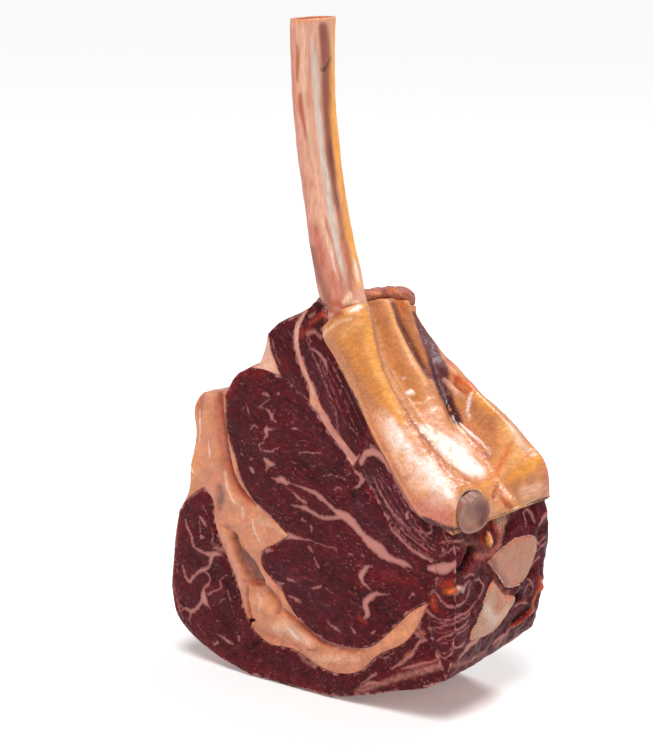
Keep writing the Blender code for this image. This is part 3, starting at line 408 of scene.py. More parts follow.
# ---- marks: a shade, how strong it covers, how soft its edge is and how far it stands up
#      in mm, and its course. Cut face: (x, z, half width) -------------------------------
MARKS = {
    "seam_fat": [
        ("gold", 0.75, 7, 0, [(-72, 132, 2.6), (-72, 112, 3.4), (-73, 98, 3), (-76, 86, 1.5)]),
        ("copper", 0.7, 4, -0.4, [(-66, 134, 1.6), (-66.5, 128, 1.4), (-68, 122, 0.6)]),
        ("cream", 0.5, 3, 0.1, [(-69, 134, 1), (-60, 136, 1), (-54, 136.5, 0.7)]),
        ("blush", 0.45, 4, 0, [(-48, 112, 1.2), (-43, 98, 1.4), (-36, 89, 1.4), (-28, 84, 1.2)]),
        ("copper", 0.8, 5, -0.6, [(-55.5, 134, 2), (-54.5, 124, 2), (-53, 112, 2), (-49, 98, 2),
            (-44, 92, 2), (-36, 86.5, 1.4)]),
        ("rust", 1, 2.4, -1.7, [(-54.5, 135.5, 1.3), (-53.5, 129, 1.1), (-51.5, 121, 0.8),
            (-49.8, 112, 1), (-48, 103, 1.1), (-45.5, 97, 1.0), (-42.5, 92.5, 1.1),
            (-38.5, 88.5, 0.9), (-33, 85.3, 0.5)]),
        # painted shade down the middle of the crease by the lip
        ("crease_shade", 0.6, 1.4, -0.5, [(-53.8, 131, 0.3), (-51.8, 121, 0.5), (-49.9, 110, 0.5),
            (-46.5, 99, 0.5), (-42, 92, 0.4)]),
        # the next three marks are painted highlights on the fat
        ("pearl_highlight", 0.7, 1.2, 0.2, [(-67, 126, 0.3), (-66.6, 118, 0.5), (-67.4, 110, 0.2)]),
        ("pearl_highlight", 0.8, 1, 0.3, [(-73.5, 96, 0.3), (-72.6, 94.6, 0.6)]),
        ("pearl_highlight", 0.6, 1, 0.2, [(-61, 112, 0.2), (-60.4, 104, 0.4)]),
        ("rose", 0.5, 5, 0, [(-57, 95, 2.5), (-58, 84, 3), (-57, 76, 2.5)]),
        ("grey_brown", 0.9, 5, -0.9, [(-54, 89.5, 1.4), (-54, 84.5, 2.8), (-55.5, 79.5, 1.4)]),
        # the next two marks are painted highlight streaks on the fat
        ("cream", 0.75, 2.2, 0.6, [(-50.5, 98, 0.7), (-49.5, 92, 1), (-46.5, 86, 0.8),
            (-42, 83, 0.6)]),
        ("cream", 0.8, 1.6, 0.3, [(-40.5, 82.5, 0.5), (-39.8, 80, 0.8), (-39.5, 77.5, 0.4)]),
        ("cream", 0.35, 3, 0.3, [(-30, 79, 1.5), (-20, 77, 1.5), (-14, 74, 1)]),
        ("rust", 0.55, 3, -0.6, [(-56, 70.5, 0.5), (-50, 70, 1), (-46, 66.5, 1.4)]),
        ("hollow", 1, 3, -2.6, [(-47, 66, 1.6), (-43, 59, 2.8), (-39, 55, 4.2), (-35, 51, 4.4),
            (-30, 48.5, 2.2)]),
        # painted shade in the hollow
        ("crease_shade", 0.4, 3, -0.5, [(-41, 62, 1), (-38, 56, 1.2), (-34, 51, 1.4)]),
        ("rust", 0.5, 2, -0.3, [(-47, 69, 0.5), (-42, 65, 0.8), (-37, 60, 0.5)]),
        ("rust", 0.75, 2.6, -1.2, [(-41, 45, 0.9), (-37, 46, 1.3), (-30, 46.2, 1.2),
            (-24, 44, 1.2), (-19.5, 41, 1.4), (-18, 36.5, 1.3), (-20, 33.5, 0.4)]),
        ("blush", 0.6, 3, 0.3, [(-56, 67, 1.4), (-50, 61, 1.6), (-46, 53, 1.6), (-43, 45, 1.5),
            (-40.5, 38, 1)]),
        ("blush", 0.5, 3, 0.3, [(-32, 56, 1.4), (-26, 50, 1.5), (-20, 46, 1.3)]),
        ("rust", 0.95, 2.2, -1.4, [(-38.2, 43, 0.5), (-38, 37, 0.6), (-36.8, 31, 0.9),
            (-35.5, 27.5, 0.8)]),
        # painted shadow in the deep slit under the fat
        ("deep_shadow", 0.97, 1.2, -3.2, [(-44, 20, 0.4), (-41, 21.6, 0.8), (-38.5, 23.6, 1.0),
            (-36, 26.5, 0.9), (-33, 27, 0.3)]),
        ("apricot", 0.8, 5, 1, [(-31, 38, 3), (-27, 37, 3.4), (-23, 35, 2)]),
        ("cream", 0.7, 3, 0.2, [(-31, 41, 0.6), (-29, 38, 0.9), (-30, 34, 0.5)]),
        ("cream", 0.5, 5, 0.8, [(-20, 26, 2), (-14, 28, 3.4), (-6, 26, 3.4), (2, 23, 2)]),
        ("copper", 0.6, 4, -0.4, [(-34, 24, 0.6), (-26, 21.6, 0.8), (-14, 20, 0.8),
            (-4, 19.4, 0.6)]),
        ("rust", 1, 2.6, -1.5, [(-15, 36, 0.4), (-9, 33, 0.8), (-3, 30, 1.3), (3, 27, 1.6),
            (9, 24.8, 1.5), (15, 23.6, 1.0), (24, 23.6, 0.7), (34, 25.2, 0.3)]),
        # painted shade down the middle of the lower crease
        ("crease_shade", 0.55, 1.4, -0.4, [(-6, 31.6, 0.3), (2, 28, 0.6), (9, 25, 0.6),
            (16, 23.8, 0.3)]),
        # the next two marks are painted highlights on the fat
        ("pearl_highlight", 0.6, 1.4, 0.3, [(-12, 28, 0.4), (-9, 26.6, 0.7), (-5, 24, 0.3)]),
        ("pearl_highlight", 0.6, 1.2, 0.2, [(-34, 78, 0.3), (-33, 73, 0.5), (-30, 68, 0.2)]),
        ("blush", 0.6, 2.4, 0.2, [(2, 28.6, 0.8), (10, 26, 0.9), (20, 25.2, 0.8), (30, 26, 0.7)]),
        # painted shade in a small crease
        ("crease_shade", 0.7, 1.8, -0.6, [(0, 18.8, 0.3), (3.5, 19.4, 0.6), (6.5, 20.6, 0.3)]),
        ("rose", 0.45, 4, -0.2, [(-36, 20, 1.4), (-24, 18.5, 1.2), (-10, 18, 1), (0, 17, 0.8)]),
        ("cream", 0.4, 4, 0.4, [(4, 15, 1.4), (12, 17, 1.6), (22, 19, 1.6), (32, 20, 1.2)]),
        ("apricot", 0.5, 5, 0.2, [(46, 32, 3), (56, 40, 3), (64, 48, 2)]),
    ],
    "top_fat": [
        ("rose", 0.5, 4, 0, [(-22, 165, 1.5), (-19, 155, 1.5)]),
        ("cream", 0.35, 4, 0, [(-32, 155, 1), (-29, 161, 1)]),
    ],
    "strip_fat": [
        ("cream", 0.4, 3, 0.1, [(-3, 183, 0.8), (-7, 173, 0.8), (-6, 165, 0.8)]),
        ("shell", 0.5, 3, 0.1, [(-3, 158, 0.8), (4, 146, 0.9)]),
        ("apricot", 0.6, 3, 0.5, [(1.5, 141.5, 1.6), (5, 140, 2), (8, 138, 1.4)]),
        ("rose", 0.45, 3, 0, [(15, 129, 1), (22, 121, 1.2)]),
        ("orange", 0.35, 3, 0.4, [(26, 117, 1.2), (29.5, 114, 1.6)]),
        ("cream", 0.7, 1.6, 0.5, [(25.5, 116, 0.5), (27.5, 114.5, 0.8)]),
    ],
    "rib_eye": [
        ("meat_bright", 0.7, 6, 0, [(-50, 138, 1.5), (-45, 145, 2), (-37, 151, 2),
            (-26, 152, 1)]),
        ("blush", 0.28, 1.4, 0.1, [(-50.6, 134, 0.7), (-50, 121, 0.6), (-45, 108.5, 0.5)]),
        ("meat_dark", 0.6, 14, -0.3, [(-44, 122, 3), (-38, 112, 4), (-34, 102, 4)]),
        ("meat_dark", 0.65, 10, -0.3, [(-14, 108, 3), (-2, 110, 3), (12, 109, 3), (24, 107, 3)]),
        ("meat_dark", 0.5, 9, -0.2, [(-26, 131, 3), (-38, 128, 2)]),
        ("meat_purple", 0.55, 12, 0.2, [(34, 92, 4), (46, 84, 5), (58, 77, 3)]),
        ("meat_purple", 0.45, 14, 0, [(-8, 146, 4), (2, 130, 5), (12, 122, 5)]),
        ("meat_bright", 0.5, 3, -0.2, [(35, 80, 1.5), (30, 79, 1), (24, 83.5, 1)]),
        ("meat_bright", 0.6, 3.5, -0.2, [(36, 58.5, 1.2), (30.5, 57, 1.5), (30, 65, 1),
            (33, 69, 1)]),
        ("rust", 0.6, 2.5, -0.2, [(30, 42, 0.8), (32, 40, 1), (35, 39.4, 0.6)]),
        ("meat_bright", 0.45, 6, 0, [(40, 63, 3), (52, 64, 3), (62, 66, 3)]),
        # painted shadow in a dent of the eye
        ("deep_shadow", 0.9, 2.2, -0.9, [(28.6, 100, 0.8), (28.2, 97.5, 1.2), (29.5, 98.6, 0.8)]),
        ("meat_purple", 0.5, 7, 0.1, [(31, 94, 2), (36, 98, 2), (36, 102, 1)]),
        ("meat_bright", 0.55, 2, -0.1, [(36, 105, 0.8), (38, 102, 0.7), (39, 99, 0.3)]),
        ("meat_dark", 0.55, 10, -0.2, [(10, 60, 5), (22, 55, 4), (48, 46, 4)]),
        # painted shadow in a small dent
        ("deep_shadow", 0.6, 2.2, -0.4, [(41, 48.5, 0.8), (43, 47.5, 1), (45, 48, 0.4)]),
        ("meat_purple", 0.5, 12, 0, [(-16, 57, 5), (0, 50, 6), (12, 42, 6), (22, 35, 3)]),
        ("meat_bright", 0.5, 2.5, 0, [(-29, 60, 0.8), (-26, 68, 1.2), (-22, 67, 0.8)]),
    ],
    "outer_strip": [
        ("meat_dark", 0.5, 8, -0.2, [(-16, 170, 3), (-12, 160, 3)]),
        ("meat_purple", 0.55, 5, 0, [(-23.5, 168, 1), (-21, 160, 1.2), (-18, 154, 1)]),
        ("meat_bright", 0.35, 5, 0, [(-13, 156, 2), (-16, 160, 1)]),
        ("meat_purple", 0.4, 6, 0, [(-8, 152, 2), (-4, 148, 2)]),
    ],
    "inner_strip": [
        ("meat_dark", 0.75, 7, -0.4, [(17, 161, 2.4), (20, 155, 2.8), (24, 148, 2.5),
            (28, 141, 3), (31, 134, 3), (29, 129, 2)]),
        ("meat_purple", 0.5, 7, 0, [(-2, 165, 2), (4, 155, 3), (12, 143, 3), (16, 133, 3)]),
        ("clot", 0.85, 3, -0.5, [(1.5, 177.5, 1.2), (5, 179.5, 1.8), (9, 181.5, 1.8),
            (10.6, 183, 1)]),
        # painted shadow in the dent by the clot
        ("deep_shadow", 0.75, 3, -1.0, [(3, 176.6, 0.9), (7, 178, 1.1), (9.6, 179.6, 0.7)]),
        ("clot", 0.6, 2.4, 0.4, [(-3, 174.5, 0.8), (-4.5, 171.5, 0.8), (0, 175, 0.5)]),
        ("blush", 0.6, 2, 0.2, [(1.5, 182, 1), (4, 183, 0.9)]),
        ("blush", 0.5, 2, 0.2, [(0, 173, 1), (4, 174.3, 0.8), (8, 172, 0.8)]),
        # painted shadow at the torn top corner
        ("deep_shadow", 0.6, 4, -0.3, [(6, 187.6, 1.4), (10, 186, 1.8)]),
        ("meat_bright", 0.6, 3, 0, [(11, 170, 0.8), (17, 161.5, 0.9), (24, 152, 1),
            (32, 141, 1.2), (40, 129.5, 1.6), (48, 119.5, 1.4)]),
        ("blush", 0.4, 1.6, 0.2, [(37, 134, 0.7), (41, 127.5, 0.8), (45, 122, 0.7)]),
        ("clot", 0.5, 3, 0, [(38, 132, 0.8), (44, 124.6, 1)]),
    ],
    "deep_muscle": [
        ("meat_purple", 0.6, 10, 0, [(40, 113, 4), (48, 108, 5), (55, 100, 5), (62, 93, 4)]),
        ("meat_dark", 0.55, 6, -0.3, [(39, 116, 1.8), (37, 111, 1.5), (43, 98, 1.5),
            (52, 88, 2)]),
        ("meat_dark", 0.6, 5, -0.3, [(70, 93, 2.4), (76, 92, 2), (72, 86, 2)]),
        ("meat_bright", 0.4, 5, 0, [(60, 86, 1.5), (68, 81, 1.5), (76, 80, 1)]),
    ],
    "rib_cap": [
        ("meat_bright", 0.55, 6, 0, [(-84, 68, 2), (-86, 50, 2), (-87, 34, 2), (-84, 24, 2)]),
        ("meat_bright", 0.5, 3, 0, [(-77, 80, 1.2), (-70, 84, 1), (-82, 74, 1)]),
        ("blush", 0.5, 2.5, 0, [(-83.5, 73, 0.9), (-85.5, 64, 0.8), (-86, 55, 0.6)]),
        ("meat_dark", 0.5, 8, -0.2, [(-68, 64, 3), (-72, 50, 4), (-52, 44, 4), (-48, 34, 4)]),
        ("meat_dark", 0.6, 8, -0.3, [(-56, 24, 4), (-44, 16, 3), (-34, 12, 3)]),
        ("blush", 0.45, 2.6, 0, [(-59, 59, 1.2), (-55, 57.6, 1), (-52, 59, 0.6)]),
        ("meat_bright", 0.45, 6, 0, [(-70, 10, 2), (-56, 5, 2), (-44, 2, 2), (-20, 1, 2),
            (8, 1, 2)]),
        # the next two marks are painted shadow in small dents
        ("deep_shadow", 0.85, 1.8, -1.0, [(-33.5, 13.8, 0.4), (-31.5, 15.6, 0.8), (-30.4, 17, 0.5)]),
        ("deep_shadow", 0.6, 2.4, -0.5, [(-2, 6, 0.6), (1.5, 8.6, 0.8), (4.5, 10.5, 0.6)]),
        ("meat_purple", 0.45, 8, 0, [(-16, 10, 4), (4, 5, 3), (20, 7, 3)]),
        ("blush", 0.5, 2.6, 0.1, [(-5, 15.4, 0.8), (-1, 12.8, 1), (4, 10.8, 0.5)]),
        ("blush", 0.5, 3, 0, [(30, 4.4, 1), (40, 9, 1), (50, 14.4, 1.2), (58, 18.4, 1.6),
            (68, 23.6, 1.8), (78, 28, 1.6)]),
        ("meat_bright", 0.55, 3.5, 0, [(44, 14, 1.2), (56, 20.6, 1.2), (68, 27, 1.6),
            (78, 31.6, 1.6)]),
        ("rose", 0.6, 2.6, 0.2, [(56, 24, 0.6), (60, 28.5, 1.2), (63, 32, 0.8)]),
        ("meat_dark", 0.5, 5, -0.2, [(46, 26, 2), (50, 22, 1.6), (56, 34, 2)]),
        ("rose", 0.4, 3, 0, [(62, 44, 1.4), (68, 42, 1.4)]),
    ],
    "chine_meat": [
        ("clot", 0.85, 3, -0.6, [(72.5, 61.5, 1.2), (73, 57.5, 1.8), (75, 55, 1.4)]),
        ("deep_shadow", 0.5, 3, -0.8, [(75, 58, 1.2), (77, 56, 1.6), (74, 60, 0.6)]),
        ("orange", 0.8, 3, 0.4, [(80, 64.5, 0.8), (84, 65.6, 1.4), (87, 66.6, 1)]),
        ("clot", 0.6, 4, 0, [(78, 68, 1.4), (84, 69.4, 1.6)]),
        ("meat_dark", 0.6, 4, -0.5, [(81, 61.4, 1), (85, 61, 1.3)]),
        ("meat_dark", 0.5, 4, -0.4, [(78, 54.6, 1), (84, 55.4, 1)]),
        ("meat_purple", 0.5, 6, 0, [(74, 42, 2), (78, 37, 2), (80, 47, 2)]),
        ("meat_bright", 0.5, 5, 0, [(70, 66, 2), (76, 70, 2), (80, 42, 2)]),
    ],
}
# rib side: (along from the top, y, half width)
RIB_MARKS = [
    # the near flap
    ("amber", 0.95, 8, 0, [(2, -20, 6), (12, -30, 8), (28, -33, 8), (42, -34, 6)]),
    ("tan", 0.8, 6, 0, [(6, -44, 4), (26, -44, 4), (44, -45, 4)]),
    ("shell", 1, 9, 0, [(58, -42, 8), (78, -43, 12), (94, -44, 14)]),
    ("rose", 0.5, 5, 0, [(56, -28.5, 1.5), (75, -28.5, 1.8), (94, -27, 2)]),
    ("honey", 0.6, 5, 0, [(3, -14, 2), (4, -24, 2), (7, -33, 1)]),
    ("gold", 0.95, 5, 0, [(-1, -9, 2), (8, -15, 3.2), (20, -22, 3.6), (34, -27.5, 3.2),
        (46, -31, 3), (57, -34, 2)]),
    # the next three marks are painted highlights on the wet flap
    ("pearl_highlight", 1, 5, 0.2, [(56, -42, 2), (66, -43, 4.4), (76, -42, 3), (82, -40, 2)]),
    ("pearl_highlight", 1, 5, 0.2, [(80, -37, 2.4), (89, -38, 4.6), (97, -37, 3)]),
    ("pearl_highlight", 0.5, 4, 0.1, [(50, -44, 0.8), (57, -40, 1)]),
    ("gold", 0.7, 4, 0, [(72, -48, 1.6), (79, -45, 2), (84, -41, 1)]),
    ("gold", 0.7, 5, 0, [(88, -51, 2), (96, -49, 2)]),
    ("gold", 0.5, 4, 0, [(50, -37, 1.6), (55, -36, 1)]),
    ("rose", 0.9, 6, 0, [(104, -42, 3), (107, -52, 6), (98, -61, 3)]),
    ("meat", 1, 2, -0.2, [(115, -44, 0.8), (114, -52, 1.8), (108, -62, 2.4)]),
    ("rose", 0.6, 3, 0, [(44, -49.5, 1), (60, -54, 1.4), (76, -57.5, 1.4), (92, -60, 1.4)]),
    ("meat_dark", 1, 1.6, -0.3, [(7, -52, 3.2), (20, -52.5, 3.8), (36, -55.5, 4.2), (50, -59, 4),
        (60, -62, 3.4), (70, -64, 2.6)]),
    ("cream", 0.8, 1.6, 0.3, [(-0.6, -20, 0.5), (0, -28, 0.6), (1.4, -38, 0.6), (4, -45, 0.6)]),
    # the second ridge and the wet valley under it
    # darker olive over the second ridge's flank: the skin's own tone, with painted shade on the
    # flank
    ("olive", 0.5, 8, 0, [(2, -1, 3), (14, -5, 7), (28, -9, 8), (42, -11, 9)]),
    ("tan", 0.7, 8, 0, [(-4, 2, 5), (6, -1, 2)]),
    ("honey", 0.7, 3, 0.2, [(-4, 11, 1.5), (10, 5.5, 1.5), (26, 1.5, 1.4), (42, -1.5, 1)]),
    # painted shade in the crease between the first and second ridge
    ("crease_shade", 0.65, 2.6, -0.3, [(-2, -4, 0.5), (10, -11.5, 0.6), (20, -17.3, 0.7),
        (30, -22.3, 0.7), (45, -25.6, 0.6), (60, -26.3, 0.8), (72, -25.8, 0.8),
        (86, -22.5, 0.3)]),
    ("shell", 0.7, 6, 0, [(56, -5, 3), (62, -14, 6), (84, -2, 5)]),
    # the next two marks are the painted highlight of the wet valley
    ("pearl_highlight", 1, 5, 0.2, [(63, -23, 2), (70, -19, 5), (78, -15, 7.4), (86, -11, 7), (92, -5, 3)]),
    ("pearl_highlight", 0.8, 5, 0, [(72, -4, 1), (80, -5, 3)]),
    ("rose", 0.5, 5, 0, [(92, -19, 2), (97, -15, 2)]),
    # the next two marks are small painted highlight spots on the second ridge
    ("pearl_highlight", 1, 1.4, 0.5, [(44, -17, 0.9), (44, -13.5, 1.1)]),
    ("pearl_highlight", 0.8, 2, 0.3, [(36, -13, 0.7), (37, -12, 0.5)]),
    ("cream", 0.7, 1.6, 0.5, [(49.5, -2, 0.4), (50.5, -12, 0.6), (49.5, -22, 0.3)]),
    ("cream", 0.7, 1.6, 0.5, [(56, -4, 0.4), (57, -14, 0.6), (56, -22, 0.3)]),
    # the third ridge
    ("rust", 0.85, 4, 0, [(-4, 15, 2), (8, 11, 2), (20, 8, 2), (32, 6, 1.5), (40, 5, 1)]),
    # painted shadow along the foot of the third ridge
    ("crease_shade", 0.9, 3, -0.4, [(-2, 14.5, 1.4), (10, 9.8, 2.4), (25, 6.4, 2.6), (38, 5, 2.4)]),
    ("orange", 0.8, 4, 0, [(-5, 21, 3), (2, 19, 1.6)]),
    ("tan", 0.95, 3, 0.2, [(-2, 23.5, 1), (8, 19.5, 1.2), (20, 15.5, 1.2), (32, 12, 0.8)]),
    ("purple", 1, 3, 0, [(4, 25, 1.4), (12, 22.6, 2.8), (20, 21, 4.4), (28, 18.6, 5.4),
        (36, 15, 6), (44, 10, 5), (54, 6, 4.4), (64, 3, 4)]),
    ("bone_red", 0.8, 3, 0, [(2, 29, 1.2), (14, 28, 1.2), (24, 28, 1.4), (36, 25, 1.4)]),
    # painted shadow along the bottom of the hollow
    ("deep_shadow", 0.6, 3, -0.4, [(30, 12.6, 0.6), (40, 8.5, 1), (50, 6, 1.6), (58, 4.4, 1.8),
        (65, 3, 1)]),
    # the lobes and the ridge at the back
    ("tan", 0.9, 6, 0, [(60, 19, 3), (70, 20, 5), (72, 30, 3)]),
    ("orange", 1, 4, 0.6, [(43, 23, 2.6), (50, 26, 3)]),
    ("rust", 0.8, 2, -0.8, [(40, 26, 0.5), (46, 19.5, 0.8), (54, 20.5, 0.6)]),
    ("gold", 0.9, 5, 0, [(57, 28, 3), (64, 30, 2.6)]),
    ("shell", 0.9, 3, 0.3, [(43, 13.5, 1), (48, 14.5, 1.6), (53, 16, 1)]),
    ("rust", 0.7, 2.4, -0.5, [(44, 18, 0.6), (48, 19, 0.9), (52, 21.4, 0.6)]),
    # a pale line across the lobe, with painted highlight on it
    ("pearl_highlight", 0.9, 1.4, 0.5, [(53, 25, 0.4), (56, 20, 0.7), (60, 15, 0.7), (66, 11.5, 0.5)]),
    ("honey", 0.95, 8, 0, [(76, 30, 5), (86, 24, 6), (93, 12, 4), (97, 3, 2)]),
    # painted highlight on the back ridge
    ("cream", 0.9, 4, 0.2, [(74, 34, 1.6), (82, 33, 3), (88, 33, 2)]),
    ("orange", 0.8, 3, -0.3, [(83, 27, 0.8), (88, 18, 1.2), (93, 9, 1.3), (98, 1, 1.1)]),
    ("gold", 0.95, 4, 0.2, [(94, 37, 2.4), (98, 24, 3), (101, 10, 2.6)]),
    ("tan", 0.95, 5, 0, [(107, 30, 5), (107, 16, 5.5), (107, 8, 4)]),
    ("wedge", 0.9, 4, 0, [(111, 6, 2), (115, 12, 2.4)]),
    ("meat_purple", 0.9, 4, -0.4, [(117, 16, 1.6), (116, 24, 1.4)]),
    ("rust", 0.8, 3, -0.4, [(106, -2, 1.4), (110, -4, 2), (114, -3, 2)]),
    ("shell", 0.6, 4, 0, [(109, 26, 3), (109, 12, 3)]),
    ("rose", 0.8, 3, 0, [(98, 38.4, 1), (106, 33, 1.4), (113, 25, 1.4)]),
    ("rose", 0.85, 4, 0, [(70, 6, 2), (78, 5, 3.4), (86, 5, 2.4)]),
    # a pale curve with painted highlight on it
    ("pearl_highlight", 0.95, 1.6, 0.6, [(67, 3.6, 0.5), (72, 4.4, 0.8), (77, 6, 0.8), (82, 9, 0.8),
        (86, 9.6, 0.4)]),
    # the ends by the bone
    ("gold", 0.8, 4, 0, [(99, -4, 1.4), (99.5, -14, 1.4)]),
    ("rust", 0.9, 2.4, -0.5, [(102, 0, 0.8), (104, -5, 1.2), (107, -10, 1)]),
    ("honey", 0.8, 3, 0.5, [(-5, -8, 1.6), (-4, -14, 2), (-4, -20, 1.6)]),
    # pale nodules at the top of the flap, with painted glints on them
    ("pearl_highlight", 0.85, 1.6, 0.5, [(-5.4, -9, 0.7), (-4.6, -13, 1), (-4.4, -18, 0.6)]),
    ("rust", 0.8, 3, 0, [(-5, -24, 1), (-4, -29, 1.4)]),
]
# chine face: (y, z, half width)
CHINE_VEINS = [
    [(-38, 57.8, 0.6), (-32, 58, 0.7), (-28, 60, 0.7), (-26.5, 63.5, 0.5), (-25, 66.5, 0.3)],
    [(-38, 52.5, 0.5), (-32, 52.8, 0.5), (-26, 54, 0.5), (-22, 56.5, 0.4)],
    [(-38, 50.3, 0.5), (-31, 51, 0.4), (-25, 52.5, 0.3)],
    [(-38, 46, 0.6), (-33, 47, 0.5), (-28, 49, 0.5)],
    [(-38, 43.8, 0.4), (-31, 45.5, 0.4), (-27, 46.5, 0.3)],
    [(-38, 38.5, 0.6), (-33, 37.5, 0.7), (-29, 39, 0.5)],
    [(-33, 31, 0.5), (-29, 33, 1.2), (-24, 36, 1.5), (-19.5, 39, 1.7), (-17, 41.5, 1.8)],
    [(-22, 67, 0.4), (-18, 66, 0.5), (-16, 62, 0.5), (-19, 57, 0.3)],
    [(-30, 69.5, 0.4), (-27, 71, 0.5), (-23, 69.5, 0.4)],
    [(-36, 63, 0.5), (-31, 66, 0.8), (-27, 68, 0.4)],
    [(-38, 88.5, 0.4), (-33, 87.5, 0.5), (-29, 87, 0.3)], [(-38, 86, 0.3), (-33, 84.5, 0.4)],
    [(17.5, 84, 0.4), (17.6, 88, 0.5), (19, 91, 0.5), (21.5, 90.6, 0.5), (23.5, 87.5, 0.4),
     (24.5, 84, 0.4)],
    [(27, 82.6, 0.4), (30, 84.2, 1.0), (33, 86, 0.9), (35.5, 87, 0.5)],
    [(25.6, 77, 0.5), (26.4, 74, 0.7), (28.5, 73, 0.6), (31, 75, 0.5), (33, 75, 0.4)],
    [(27, 69.8, 0.5), (30, 71, 0.6), (33, 72.5, 0.5)],
    [(20, 60, 0.4), (25, 63, 0.5), (29, 66, 0.6)],
    [(22, 56.5, 0.3), (25, 54, 0.5), (27, 51, 0.4)],
    [(20, 50.5, 0.3), (22.5, 53.5, 0.4), (25.5, 55, 0.3)],
    [(12, 46, 0.4), (17, 46, 0.5), (22, 45, 0.4)], [(-2, 31, 0.8), (3, 33, 0.9), (8, 34.5, 0.5)],
    [(-8, 38.3, 0.4), (-2, 40.8, 0.5), (3, 43, 0.4)],
]
